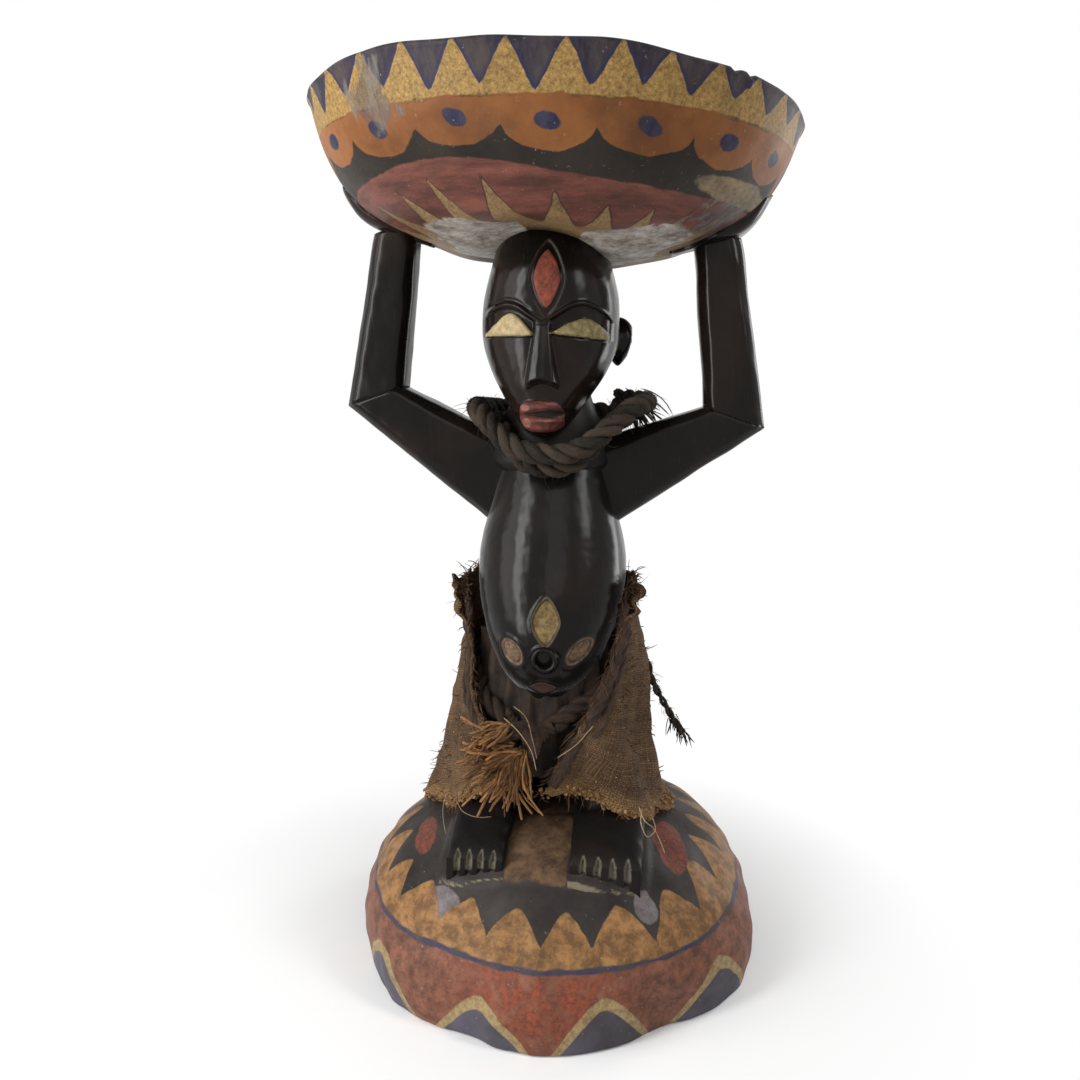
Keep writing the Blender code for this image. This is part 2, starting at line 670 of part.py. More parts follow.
def make_hand(name, side):
    """A paddle cut from a shell under the seat, from heel to fingertips."""
    bm = bmesh.new()
    low, high = SEAT_BOTTOM - 2 * HAND_THICKNESS, RIM
    end = HAND_TIP + HAND_THICKNESS
    corners = [(HAND_HEEL, -HAND_WIDTH), (end, -HAND_TIP_WIDTH), (end, HAND_TIP_WIDTH), (HAND_HEEL, HAND_WIDTH)]
    face = bm.faces.new([bm.verts.new((side * x, y / 2, low)) for x, y in corners])
    drawn = bmesh.ops.extrude_face_region(bm, geom=[face])
    moved = [g for g in drawn["geom"] if isinstance(g, bmesh.types.BMVert)]
    bmesh.ops.translate(bm, verts=moved, vec=(0, 0, high - low))
    upright = [e for e in bm.edges if abs(e.verts[0].co.z - e.verts[1].co.z) > HAND_THICKNESS]
    bevel(bm, upright, HAND_CORNER, HAND_CORNER_STEPS)
    hand = piece(name, bm)
    combine(hand, "INTERSECT", [thicker_seat(HAND_THICKNESS)])
    combine(hand, "DIFFERENCE", [above_plane(under_seat(side * HAND_TIP))])
    cut_by_seat(hand)
    smooth(hand)
    return hand


def above_plane(height):
    """A block that takes away all of a hand above its fingertips."""
    bm = bmesh.new()
    size = 4 * RIM_RADIUS
    bmesh.ops.create_cube(bm, size=size, matrix=Matrix.Translation((0, 0, height + size / 2)))
    return piece("fingertip_plane", bm)


def cut_by_seat(thing, out=FIT):
    combine(thing, "DIFFERENCE", [thicker_seat(out)])


def arm_corners(side):
    """The elbow's outer and inner corner for one arm, in the figure's plane."""
    rise = LEFT_ELBOW_RISE if side < 0 else RIGHT_ELBOW_RISE
    outer = Vector((side * ELBOW_OUT, CHEST_TOP + rise))
    inner = Vector((side * ELBOW_IN, CHEST_TOP + rise + ELBOW_SLANT))
    return outer, inner


def make_upper_arm(name, side, torso):
    outer, inner = arm_corners(side)
    top = (side * SHOULDER_X, CHEST_TOP + SHOULDER_TOP)
    low = (side * SHOULDER_X, CHEST_TOP - SHOULDER_DROP)
    depths = [ELBOW_DEPTH / 2, ELBOW_DEPTH / 2, SHOULDER_DEPTH / 2, SHOULDER_DEPTH / 2]
    arm = prism(name, [outer, inner, top, low], depths, ARM_CHAMFER)
    cut_by(torso, arm)
    smooth(arm, FACET_SHARP_ANGLE)
    return arm


def make_forearm(name, side, upper_arm, hand):
    outer, inner = arm_corners(side)
    along = (inner - outer).normalized()
    square = Vector((-along.y, along.x)) * (1 if along.x > 0 else -1)
    lift = square * FIT
    wrist_in = (side * WRIST_IN, RIM)
    wrist_out = (side * WRIST_OUT, RIM)
    depths = [ELBOW_DEPTH / 2, ELBOW_DEPTH / 2, WRIST_DEPTH / 2, WRIST_DEPTH / 2]
    forearm = prism(name, [outer + lift, inner + lift, wrist_in, wrist_out], depths, ARM_CHAMFER)
    cut_by_seat(forearm, HAND_THICKNESS + FIT)
    middle = (outer + inner) / 2
    start = middle + square * ELBOW_TENON_LENGTH
    end = middle - square * ELBOW_TENON_LENGTH
    tenon(forearm, upper_arm, (start.x, 0, start.y), (end.x, 0, end.y), ELBOW_TENON_RADIUS)
    wrist_x = side * (WRIST_IN + WRIST_OUT) / 2
    high_end = under_seat(wrist_x) - WRIST_TENON_CLEAR
    low_end = high_end - WRIST_TENON_LENGTH
    tenon(forearm, hand, (wrist_x, 0, low_end), (wrist_x, 0, high_end), WRIST_TENON_RADIUS)
    smooth(forearm, FACET_SHARP_ANGLE)
    return forearm


def tube(name, points, diameter, roundness, swell=None):
    """A round rope with filled ends along points, as a bevelled curve that may swell from point to point."""
    line = bpy.data.curves.new(name, "CURVE")
    line.dimensions = "3D"
    line.bevel_depth = diameter / 2
    line.bevel_resolution = roundness
    line.use_fill_caps = True
    spline = line.splines.new("POLY")
    spline.points.add(len(points) - 1)
    for i, (point, place) in enumerate(zip(spline.points, points)):
        point.co = (*place, 1.0)
        point.radius = swell[i] if swell else 1.0
    line.materials.append(finish_of("dark_rope"))
    made = bpy.data.objects.new(name, line)
    bpy.context.scene.collection.objects.link(made)
    return made


def over_shoulder(x, y):
    """The least height of the rope's centreline where it crosses an upper arm's chamfered top, if it does."""
    side = -1 if x < 0 else 1
    _, inner = arm_corners(side)
    top = Vector((side * SHOULDER_X, CHEST_TOP + SHOULDER_TOP))
    slope = (inner.y - top.y) / (inner.x - top.x)
    reach = (NECK_ROPE / 2 + LAY) * math.hypot(1.0, slope)
    heights = []
    for edge, sunk in ((SHOULDER_DEPTH / 2 - ARM_CHAMFER, 0.0), (SHOULDER_DEPTH / 2, ARM_CHAMFER)):
        beyond = max(0.0, abs(y) - edge)
        if beyond < reach:
            heights.append(top.y + slope * (x - top.x) - sunk + math.sqrt(reach**2 - beyond**2))
    return max(heights, default=None)


def neck_rope_plan(turn):
    """A point of the rope's turns seen from above, and how far it is round to the front, from 0 to 1."""
    angle = NECK_ROPE_START + math.tau * turn
    spread = (NECK_ROPE + NECK_ROPE_GAP) * math.cos(NECK_ROPE_STACK)
    radius = NECK_ROPE_RADIUS + spread * turn
    across = math.copysign(abs(math.cos(angle)) ** NECK_ROPE_FULLNESS, math.cos(angle))
    along = math.copysign(abs(math.sin(angle)) ** NECK_ROPE_FULLNESS, math.sin(angle))
    front = max(0.0, -math.sin(angle)) ** NECK_ROPE_SWEEP
    return TORSO_OFFSET + radius * across, radius * NECK_ROPE_FLATTEN * along, front


def neck_rope_points():
    """Turns round the neck, each outside and above the last, on the shoulders and below the chin."""
    climb = (NECK_ROPE + NECK_ROPE_GAP) * math.sin(NECK_ROPE_STACK)
    first_front = (1.5 * math.pi - NECK_ROPE_START) / math.tau % 1.0
    last_front = first_front + math.floor(NECK_ROPE_TURNS - first_front)
    front_start = CHIN - NECK_ROPE_CHIN_GAP - NECK_ROPE / 2 - climb * last_front
    turns = [i / POINTS_PER_TURN for i in range(POINTS_PER_TURN * NECK_ROPE_TURNS + 1)]
    plan = [(turn, *neck_rope_plan(turn)) for turn in turns]
    side_starts = []
    for turn, x, y, front in plan:
        seat = over_shoulder(x, y)
        if seat is not None:
            side_starts.append((seat - climb * turn - front_start * front) / (1 - front))
    side_start = max(side_starts)
    return [(x, y, side_start * (1 - front) + front_start * front + climb * turn) for turn, x, y, front in plan]


def print_self_gap(name, points, diameter):
    """Prints the least gap between a rope's own turns, measured between points half a turn or more apart."""
    line = np.array(points)
    away = np.linalg.norm(line[:, None] - line[None], axis=2)
    step = abs(np.arange(len(line))[:, None] - np.arange(len(line))[None])
    least = away[step > POINTS_PER_TURN // 2].min() - diameter
    print(f"{name}: least gap to itself {least * 1000:.2f} mm")


def make_neck_rope():
    points = neck_rope_points()
    print_self_gap("neck_rope", points, NECK_ROPE)
    return tube("neck_rope", points, NECK_ROPE, ROPE_ROUNDNESS)


def cloth_radius(angle, z):
    """The cloth's middle surface: narrow at the waist, flared and folded at the hem."""
    fall = min(1.0, max(0.0, (CLOTH_TOP - z) / CLOTH_DROP))
    radius = CLOTH_WAIST_RADIUS + (CLOTH_HEM_RADIUS - CLOTH_WAIST_RADIUS) * fall**CLOTH_FLARE
    return radius + CLOTH_FOLD_DEPTH * fall**CLOTH_FOLD_START * math.cos(CLOTH_FOLDS * angle)


def cloth_point(angle, z, out=0.0):
    """A point on the cloth, with the angle measured from the front towards the right."""
    radius = cloth_radius(angle, z) + out
    return (CLOTH_OFFSET + radius * math.sin(angle), -radius * CLOTH_FLATTEN * math.cos(angle), z)


def cloth_hem(angle):
    """The hem's height at an angle from the front: just above the dome, and lifted over the feet."""
    x, y, _ = cloth_point(angle, CLOTH_TOP - CLOTH_DROP)
    front = ((1 + math.cos(angle)) / 2) ** 2
    return dome_under(x, y) + CLOTH_CLEAR + CLOTH_FRONT_RISE * front


def make_cloth(neighbours):
    """A wrapped cloth, open at the front, whose edges draw apart towards the waist."""
    bm = bmesh.new()
    bmesh.ops.create_grid(bm, x_segments=CLOTH_COLUMNS, y_segments=CLOTH_ROWS, size=1.0)
    for vertex in bm.verts:
        across, up = (vertex.co.x + 1) / 2, (vertex.co.y + 1) / 2
        right = CLOTH_RIGHT_EDGE + CLOTH_EDGE_SLANT * up
        left = math.tau - CLOTH_LEFT_EDGE - CLOTH_EDGE_SLANT * up
        angle = right + (left - right) * across
        hem = cloth_hem(angle)
        vertex.co = cloth_point(angle, hem + (CLOTH_TOP - hem) * up)
    cloth = piece("skirt_cloth", bm, "raffia_cloth")
    wall = cloth.modifiers.new("thickness", "SOLIDIFY")
    wall.thickness = CLOTH
    wall.offset = 0.0
    wall.use_even_offset = True
    graph = bpy.context.evaluated_depsgraph_get()
    solid = bpy.data.meshes.new_from_object(cloth.evaluated_get(graph))
    cloth.modifiers.clear()
    cloth.data = solid
    cut_by(cloth, *neighbours)
    smooth(cloth)
    return cloth


def belt_height(angle):
    """The belt's height at an angle from its knot: low under the belly, high at the back."""
    steep = math.hypot(math.sin(angle / 2), WAIST_ROPE_ROUND) ** WAIST_ROPE_SWEEP
    least = WAIST_ROPE_ROUND**WAIST_ROPE_SWEEP
    most = math.hypot(1.0, WAIST_ROPE_ROUND) ** WAIST_ROPE_SWEEP
    return WAIST_ROPE_FRONT + (WAIST_ROPE_BACK - WAIST_ROPE_FRONT) * (steep - least) / (most - least)


def belt_point(angle):
    """The belt's centreline at an angle from its knot: under the cloth, and out between its edges."""
    under = -(CLOTH + WAIST_ROPE) / 2 - FOLD_LAY
    emerged = max(0.0, 1 - abs(angle) / (KNOT_HALF_ANGLE - KNOT_STEP))
    emerged *= emerged * (3 - 2 * emerged)
    return cloth_point(KNOT_ANGLE + angle, belt_height(angle), under + (KNOT_PROUD - under) * emerged)


def make_waist_rope():
    """One turn inside the cloth, from one side of the knot to the other."""
    first = KNOT_HALF_ANGLE + 2 * FIT / CLOTH_WAIST_RADIUS
    last = math.tau - first
    angles = [first, *np.linspace(first + KNOT_STEP, last - KNOT_STEP, WAIST_ROPE_POINTS - 2), last]
    points = [belt_point(angle if angle < math.pi else angle - math.tau) for angle in angles]
    return tube("waist_rope", points, WAIST_ROPE, BELT_ROUNDNESS)


def make_knot():
    """A swelling between the belt's two ends, below the belly."""
    shares = [i / KNOT_POINTS for i in range(KNOT_POINTS + 1)]
    points = [belt_point(KNOT_HALF_ANGLE * (2 * share - 1)) for share in shares]
    most = 2 * KNOT_RADIUS / WAIST_ROPE
    swell = [1 + (most - 1) * math.sin(math.pi * share) for share in shares]
    return tube("belt_knot", points, WAIST_ROPE, BELT_ROUNDNESS, swell)


def make_tassel():
    """A fan that spreads from below the knot, ribbed by its straws, and swings to the left."""
    top = Vector(belt_point(0.0)) - Vector((0, 0, KNOT_RADIUS + FIT))
    tip_y = top.y - TASSEL_FORWARD
    tip = Vector((top.x - TASSEL_SWING, tip_y, foot_top(LEFT_FOOT_X, tip_y) + TASSEL_CLEAR))
    count = TASSEL_STRAWS * 4
    bm = bmesh.new()
    loops = []
    for share in TASSEL_RINGS:
        width = TASSEL_TOP_HALF_WIDTH + (TASSEL_HALF_WIDTH - TASSEL_TOP_HALF_WIDTH) * share
        thick = (TASSEL_TOP_THICKNESS + (TASSEL_THICKNESS - TASSEL_TOP_THICKNESS) * share) / 2
        centre = top.lerp(tip, share)
        made = bmesh.ops.create_circle(bm, segments=count, radius=1.0, matrix=Matrix.Translation(centre))
        for i, vertex in enumerate(made["verts"]):
            angle = math.tau * i / count
            rib = 1.0 + TASSEL_RIB * share * math.cos(TASSEL_STRAWS * 2 * angle)
            droop = -TASSEL_RAGGED * share * math.cos(TASSEL_STRAWS * angle + 1.0)
            vertex.co = centre + Vector((width * rib * math.cos(angle), thick * rib * math.sin(angle), droop))
        loops.append(made["verts"])
    bridge(bm, loops)
    bmesh.ops.poke(bm, faces=[f for f in bm.faces if len(f.verts) > 4])
    tassel = piece("tassel", bm, "straw")
    smooth(tassel)
    return tassel


def make_hanging_cord():
    """A short frayed cord that hangs from the cloth at the right."""
    top = BELLY_BOTTOM + HANGING_CORD_RISE
    out = (CLOTH + HANGING_CORD) / 2 + LAY
    points = []
    for outward, up in HANGING_CORD_POINTS:
        points.append(cloth_point(HANGING_CORD_ANGLE, top + up, out + outward))
    return tube("hanging_cord", points, HANGING_CORD, BELT_ROUNDNESS)


def main():
    clear_scene()
    base = make_base()
    left_foot = make_foot("left_foot", base, LEFT_FOOT_X, LEFT_FOOT_WIDTH)
    right_foot = make_foot("right_foot", base, RIGHT_FOOT_X, RIGHT_FOOT_WIDTH)
    spread = THIGH_RADIUS + LEG_SPLIT / 2
    left_leg = make_leg("left_leg", left_foot, LEFT_FOOT_X, TORSO_OFFSET - spread)
    right_leg = make_leg("right_leg", right_foot, RIGHT_FOOT_X, TORSO_OFFSET + spread)
    torso = make_torso()
    hips = make_hips(torso, (left_leg, right_leg))
    head = make_head(torso)
    seat = make_seat()
    cut_by(seat, head)
    for side, word in ((-1, "left"), (1, "right")):
        hand = make_hand(f"{word}_hand", side)
        upper_arm = make_upper_arm(f"{word}_upper_arm", side, torso)
        make_forearm(f"{word}_forearm", side, upper_arm, hand)
    make_neck_rope()
    make_cloth((torso, hips))
    make_waist_rope()
    make_knot()
    make_tassel()
    make_hanging_cord()
    stand = bpy.data.objects.new("caryatid_stool", None)
    bpy.context.scene.collection.objects.link(stand)
    for thing in list(bpy.context.scene.collection.objects):
        if thing is not stand:
            thing.parent = stand


main()
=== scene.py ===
"""Looks of a carved caryatid stool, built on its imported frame.

The figure faces -Y and stands on z = 0, and left is the viewer's left, -X. Lengths are in metres unless a
name ends in _MM. Wood is dense mesh with tool marks. Paint is stored on the mesh as fields in millimetres,
positive inside a painted mark, which the shaders cut to crisp edges. Rope, threads and straw are strands,
and the skirt is a bent grid.
"""

import math

import bmesh
import bpy
import numpy as np
from mathutils import Matrix, Vector


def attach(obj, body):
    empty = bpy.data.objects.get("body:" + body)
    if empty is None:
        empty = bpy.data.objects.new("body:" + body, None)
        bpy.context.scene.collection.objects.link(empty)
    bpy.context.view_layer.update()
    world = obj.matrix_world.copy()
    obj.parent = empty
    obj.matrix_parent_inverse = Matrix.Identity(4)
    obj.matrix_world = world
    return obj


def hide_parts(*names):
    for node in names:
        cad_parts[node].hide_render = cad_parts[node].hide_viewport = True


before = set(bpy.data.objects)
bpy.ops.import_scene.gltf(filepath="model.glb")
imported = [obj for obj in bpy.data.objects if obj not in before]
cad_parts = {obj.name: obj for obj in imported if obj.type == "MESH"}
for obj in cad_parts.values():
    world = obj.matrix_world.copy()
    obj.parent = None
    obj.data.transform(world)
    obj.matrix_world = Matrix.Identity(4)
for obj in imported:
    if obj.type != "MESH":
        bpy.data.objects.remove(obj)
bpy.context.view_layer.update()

MM = 1000.0  # millimetres in a metre
WELD = 1e-6  # points closer than this become one
OUTSIDE_MM = -9.0  # a painted field's value well outside its mark
SIDES = ((-1, "left"), (1, "right"))

# Heights of the figure
BASE_TOP = 0.095
BELLY_BOTTOM = 0.164
TORSO_HEIGHT = 0.146
CHEST_TOP = BELLY_BOTTOM + TORSO_HEIGHT
CHIN = CHEST_TOP + 0.011
HEAD_HEIGHT = 0.131
RIM = 0.500
SEAT_DEPTH = 0.078

# Base
BASE_OFFSET = 0.008
BASE_FOOT_RADIUS = 0.122
BASE_RADIUS = 0.124
BASE_BELLY_HEIGHT = 0.018

# Seat
RIM_RADIUS = 0.138
RIM_WIDTH = 0.009
RIM_ROUND = 0.002
SEAT_LEAN = math.radians(2.2)
SEAT_TAPER, SEAT_FULLNESS, SEAT_CORNER = 0.16, 3.6, 0.46
DISH_DEPTH = 0.016
DISH_FLOOR_RADIUS = 0.048

# Torso and head
TORSO_OFFSET = 0.003
TORSO_HALF_WIDTH, TORSO_FRONT, TORSO_BACK = 0.0445, 0.056, 0.032
HEAD_HALF_WIDTH, HEAD_FRONT, HEAD_BACK = 0.040, 0.050, 0.042
HEAD_FORWARD = 0.006
NECK_RADIUS = 0.021
TORSO_OUTLINE = [
    (0.0, 0.0), (0.04, 0.33), (0.12, 0.61), (0.23, 0.80), (0.32, 0.895), (0.42, 0.97), (0.53, 0.995),
    (0.66, 0.93), (0.77, 0.82), (0.87, 0.73), (0.94, 0.62), (0.98, 0.42), (1.0, 0.0),
]
TORSO_FRONT_OUTLINE = [
    (0.0, 0.0), (0.03, 0.50), (0.10, 0.80), (0.25, 1.0), (0.43, 0.98),
    (0.61, 0.82), (0.75, 0.68), (0.87, 0.53), (0.94, 0.42), (0.98, 0.28), (1.0, 0.0),
]
HEAD_OUTLINE = [
    (0.0, 0.0), (0.03, 0.24), (0.08, 0.405), (0.16, 0.58), (0.28, 0.825), (0.40, 0.97),
    (0.52, 0.99), (0.62, 0.965), (0.72, 0.885), (0.86, 0.71), (0.96, 0.42), (1.0, 0.0),
]
HEAD_FRONT_OUTLINE = [
    (0.0, 0.0), (0.03, 0.64), (0.08, 0.82), (0.16, 0.88), (0.30, 0.93), (0.45, 0.98),
    (0.60, 1.0), (0.74, 0.95), (0.86, 0.80), (0.96, 0.48), (1.0, 0.0),
]

# Cloth
CLOTH_OFFSET = 0.001
CLOTH = 0.003
CLOTH_TOP = BELLY_BOTTOM + 0.072
CLOTH_DROP = 0.148
CLOTH_WAIST_RADIUS = 0.0515
CLOTH_HEM_RADIUS = 0.0786
CLOTH_FLATTEN = 0.90
CLOTH_CLEAR = 0.005
CLOTH_FRONT_RISE = 0.030
CLOTH_FOLDS = 8
CLOTH_FOLD_DEPTH = 0.0045
CLOTH_LEFT_EDGE = math.radians(10)
CLOTH_RIGHT_EDGE = math.radians(2)
CLOTH_EDGE_SLANT = math.radians(65)

# Ropes
NECK_ROPE = 0.012
WAIST_ROPE = 0.011
WAIST_ROPE_FRONT = BELLY_BOTTOM - 0.014
WAIST_ROPE_BACK = BELLY_BOTTOM + 0.034
KNOT_ANGLE = math.radians(-8)
KNOT_HALF_ANGLE = math.radians(15)
KNOT_PROUD = 0.008
HANGING_CORD = 0.006
HANGING_CORD_ANGLE = math.radians(88)
HANGING_CORD_POINTS = [(0.0, 0.0), (0.001, -0.011), (0.005, -0.023), (0.009, -0.034), (0.014, -0.045)]


def smoothstep(low, high, value):
    share = np.clip((value - low) / (high - low), 0.0, 1.0)
    return share * share * (3 - 2 * share)


def bump(value):
    """One at zero, fading smoothly to nothing at one and beyond."""
    return (1 - np.clip(np.abs(value), 0.0, 1.0) ** 2) ** 2


def through(at, value, where):
    """A smooth curve through points, read at many places."""
    at, value = np.asarray(at, float), np.asarray(value, float)
    slope = np.gradient(value, at)
    i = np.clip(np.searchsorted(at, where) - 1, 0, len(at) - 2)
    gap = at[i + 1] - at[i]
    t = np.clip((where - at[i]) / gap, 0.0, 1.0)
    low = (1 + 2 * t) * (1 - t) ** 2 * value[i] + t * (1 - t) ** 2 * gap * slope[i]
    high = t * t * (3 - 2 * t) * value[i + 1] + t * t * (t - 1) * gap * slope[i + 1]
    return low + high


def outline(points, share):
    return through([p[0] for p in points], [p[1] for p in points], share)


def route(points, count):
    """Even steps along a smooth curve through the points of a route."""
    points = np.asarray(points, float)
    at = np.concatenate([[0.0], np.cumsum(np.linalg.norm(np.diff(points, axis=0), axis=1))])
    where = np.linspace(0.0, at[-1], count)
    return np.stack([through(at, points[:, i], where) for i in range(3)], axis=1)


def wavy(points, size, seed, waves=9):
    """A smooth random field over points, mostly from -1 to 1, with bumps of about that size."""
    rng = np.random.default_rng(seed)
    total = np.zeros(len(points))
    for _ in range(waves):
        way = rng.normal(size=3)
        way *= math.tau / (size * rng.uniform(0.7, 1.5) * np.linalg.norm(way))
        total += np.sin(points @ way + rng.uniform(0.0, math.tau))
    return total / math.sqrt(waves)


def ripples(points, coarse, fine, seed):
    """Coarse and fine waves over points, each given as a height and a size."""
    return coarse[0] * wavy(points, coarse[1], seed) + fine[0] * wavy(points, fine[1], seed + 1)


def degrees_off(angle, at):
    """How far an angle lies from another, from -180 to 180 degrees."""
    return (angle - at + 180.0) % 360.0 - 180.0


def read_points(mesh):
    points = np.empty(len(mesh.vertices) * 3, np.float32)
    mesh.vertices.foreach_get("co", points)
    return points.reshape(-1, 3).astype(float)


def seal(mesh):
    """Merges points that meet at a seam or a pole, and turns the faces outwards."""
    bm = bmesh.new()
    bm.from_mesh(mesh)
    bmesh.ops.remove_doubles(bm, verts=bm.verts, dist=WELD)
    bmesh.ops.recalc_face_normals(bm, faces=bm.faces)
    bm.to_mesh(mesh)
    bm.free()


def piece(name, bm, finish, place, stands_for=()):
    """A piece that rides on the stool: place moves the bmesh's points and gives the fields stored on them."""
    mesh = bpy.data.meshes.new(name)
    bm.to_mesh(mesh)
    bm.free()
    points, fields = place(read_points(mesh))
    mesh.vertices.foreach_set("co", points.astype(np.float32).ravel())
    for key, values in fields.items():
        stored = mesh.attributes.new(key, "FLOAT", "POINT")
        stored.data.foreach_set("value", np.asarray(values, np.float32))
    seal(mesh)
    mesh.shade_smooth()
    mesh.materials.append(finish)
    made = bpy.data.objects.new(name, mesh)
    bpy.context.scene.collection.objects.link(made)
    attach(made, "root")
    if stands_for:
        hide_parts(*stands_for)
    return made


def grid(columns, rows):
    """A flat grid from -1 to 1, with a UV map, for a place function to bend or to roll up."""
    bm = bmesh.new()
    bm.loops.layers.uv.new("UVMap")
    bmesh.ops.create_grid(bm, x_segments=columns, y_segments=rows, size=1.0, calc_uvs=True)
    return bm


def turned(profile, place):
    """Rolls a grid round the Z axis along (radius, height) points, one for each row, before it is placed."""
    profile = np.array(profile)

    def roll(flat):
        angle = (flat[:, 0] + 1) * math.pi
        row = np.rint((flat[:, 1] + 1) / 2 * (len(profile) - 1)).astype(int)
        radius, height = profile[row].T
        return place(np.stack([radius * np.cos(angle), radius * np.sin(angle), height], axis=1))

    return roll


def balled(place):
    """Rolls a grid into a ball of radius one before it is placed."""

    def roll(flat):
        angle = (flat[:, 0] + 1) * math.pi
        up = flat[:, 1] * math.pi / 2
        return place(np.stack([np.cos(up) * np.cos(angle), np.cos(up) * np.sin(angle), np.sin(up)], axis=1))

    return roll


def block(cuts):
    """A cube from -1 to 1 with evenly cut faces."""
    bm = bmesh.new()
    bmesh.ops.create_cube(bm, size=2.0)
    bmesh.ops.subdivide_edges(bm, edges=bm.edges, cuts=cuts, use_grid_fill=True)
    return bm


def frames(lines):
    """Two directions square to each line at each of its points, turning as little as they can."""
    ahead = np.gradient(lines, axis=1)
    ahead /= np.linalg.norm(ahead, axis=2, keepdims=True)
    side = np.empty_like(lines)
    helper = np.where(np.abs(ahead[:, :1, 2:]) < 0.9, [[[0.0, 0.0, 1.0]]], [[[1.0, 0.0, 0.0]]])[:, 0]
    last = np.cross(ahead[:, 0], helper)
    for j in range(lines.shape[1]):
        last = last - ahead[:, j] * (last * ahead[:, j]).sum(1, keepdims=True)
        last = last / np.linalg.norm(last, axis=1, keepdims=True)
        side[:, j] = last
    return side, np.cross(ahead, side)


def strands(name, lines, radii, sides, finish, stands_for=(), yarns=None, seed=0):
    """Many round strands along lines, as one piece. Radii of nothing at both ends close a strand.

    lines is strands by points by three, and radii is strands by points. yarns, which twist round a strand,
    are a number, a depth as a share of the radius and a pitch.
    """
    count, rows = lines.shape[:2]
    total = count * rows
    bm = grid(sides, total - 1)

    def row_of(y):
        return (y + 1) / 2 * (total - 1)

    joins = [face for face in bm.faces if math.floor(row_of(face.calc_center_median().y)) % rows == rows - 1]
    bmesh.ops.delete(bm, geom=joins, context="FACES_ONLY")
    side, up = frames(lines)
    steps = np.linalg.norm(np.diff(lines, axis=1, prepend=lines[:, :1]), axis=2)
    along = np.cumsum(steps, axis=1)
    shade = np.random.default_rng(seed).uniform(0.0, 1.0, count)

    def place(points):
        row = np.rint(row_of(points[:, 1])).astype(int)
        turn = (points[:, 0] + 1) / 2 * math.tau
        k, j = row // rows, row % rows
        reach = radii[k, j]
        if yarns:
            number, depth, pitch = yarns
            reach = reach * (1 + depth * np.cos(number * turn - math.tau * number * along[k, j] / pitch))
        ring = np.cos(turn)[:, None] * side[k, j] + np.sin(turn)[:, None] * up[k, j]
        return lines[k, j] + ring * reach[:, None], {"shade": shade[k], "along": along[k, j]}

    return piece(name, bm, finish, place, stands_for)


def closed_ends(count, rows, radius, taper=0.0):
    """Radii of even strands that narrow to a point by taper, from 0 to 1, and are closed at both ends."""
    share = np.linspace(0.0, 1.0, rows)
    radii = np.ones((count, 1)) * (1 - taper * share)[None] * np.asarray(radius).reshape(-1, 1)
    radii[:, 0] = 0.0
    radii[:, -1] = 0.0
    return radii


def wisps(starts, ways, lengths, rows, droop, curl, rng):
    """Loose fibres from starts along ways that sag by droop and curl, both as shares of their length."""
    t = np.linspace(0.0, 1.0, rows)[None, :, None]
    ways = ways / np.linalg.norm(ways, axis=1, keepdims=True)
    bend = rng.normal(size=ways.shape) * curl
    bend[:, 2] -= droop
    swirl = rng.normal(size=ways.shape) * curl * 0.5
    lengths = np.asarray(lengths).reshape(-1, 1, 1)
    lines = ways[:, None] * t + bend[:, None] * t**2 + swirl[:, None] * np.sin(t * 4.0) * t
    return starts[:, None] + lengths * lines


# Materials

class Finish:
    """A material whose nodes are added one call at a time."""

    def __init__(self, name):
        self.material = bpy.data.materials.new(name)
        self.material.use_nodes = True
        self.tree = self.material.node_tree
        self.shader = self.tree.nodes["Principled BSDF"]
        self.place = self.add("TexCoord").outputs["Object"]

    def add(self, kind, inputs=None, **settings):
        node = self.tree.nodes.new("ShaderNode" + kind)
        for key, value in settings.items():
            setattr(node, key, value)
        for key, value in (inputs or {}).items():
            self.put(node.inputs[key], value)
        return node

    def put(self, socket, value):
        if isinstance(value, bpy.types.NodeSocket):
            self.tree.links.new(value, socket)
        elif isinstance(value, tuple) and len(value) == 3 and socket.type == "RGBA":
            socket.default_value = (*value, 1.0)
        else:
            socket.default_value = value

    def math(self, operation, a, b=0.0):
        node = self.add("Math", operation=operation)
        self.put(node.inputs[0], a)
        self.put(node.inputs[1], b)
        return node.outputs[0]

    def stretched(self, scale):
        return self.add("Mapping", {"Vector": self.place, "Scale": scale}).outputs[0]

    def noise(self, scale, detail=4.0, roughness=0.6, source=None):
        inputs = {"Vector": source or self.place, "Scale": scale, "Detail": detail, "Roughness": roughness}
        return self.add("TexNoise", inputs).outputs["Fac"]

    def field(self, name):
        return self.add("Attribute", attribute_name=name).outputs["Fac"]

    def span(self, value, low, high, start=0.0, end=1.0):
        """A value carried from one range to another and held inside it."""
        inputs = {"Value": value, "From Min": low, "From Max": high, "To Min": start, "To Max": end}
        return self.add("MapRange", inputs, clamp=True).outputs["Result"]

    def mix(self, share, a, b):
        node = self.add("Mix", data_type="RGBA")
        self.put(node.inputs[0], share)
        self.put(node.inputs[6], a)
        self.put(node.inputs[7], b)
        return node.outputs[2]

    def inside(self, name, wobble, soft):
        """One inside a painted mark and nothing outside, with an edge moved by wobble, in millimetres."""
        return self.span(self.math("ADD", self.field(name), wobble), -soft, soft)

    def raised(self, height, strength, distance, under=None):
        inputs = {"Height": height, "Strength": strength, "Distance": distance}
        if under:
            inputs["Normal"] = under
        return self.add("Bump", inputs).outputs["Normal"]

    def done(self, colour, roughness, normal, **constants):
        self.put(self.shader.inputs["Base Color"], colour)
        self.put(self.shader.inputs["Roughness"], roughness)
        self.put(self.shader.inputs["Normal"], normal)
        for key, value in constants.items():
            self.shader.inputs[key.replace("_", " ")].default_value = value
        return self.material


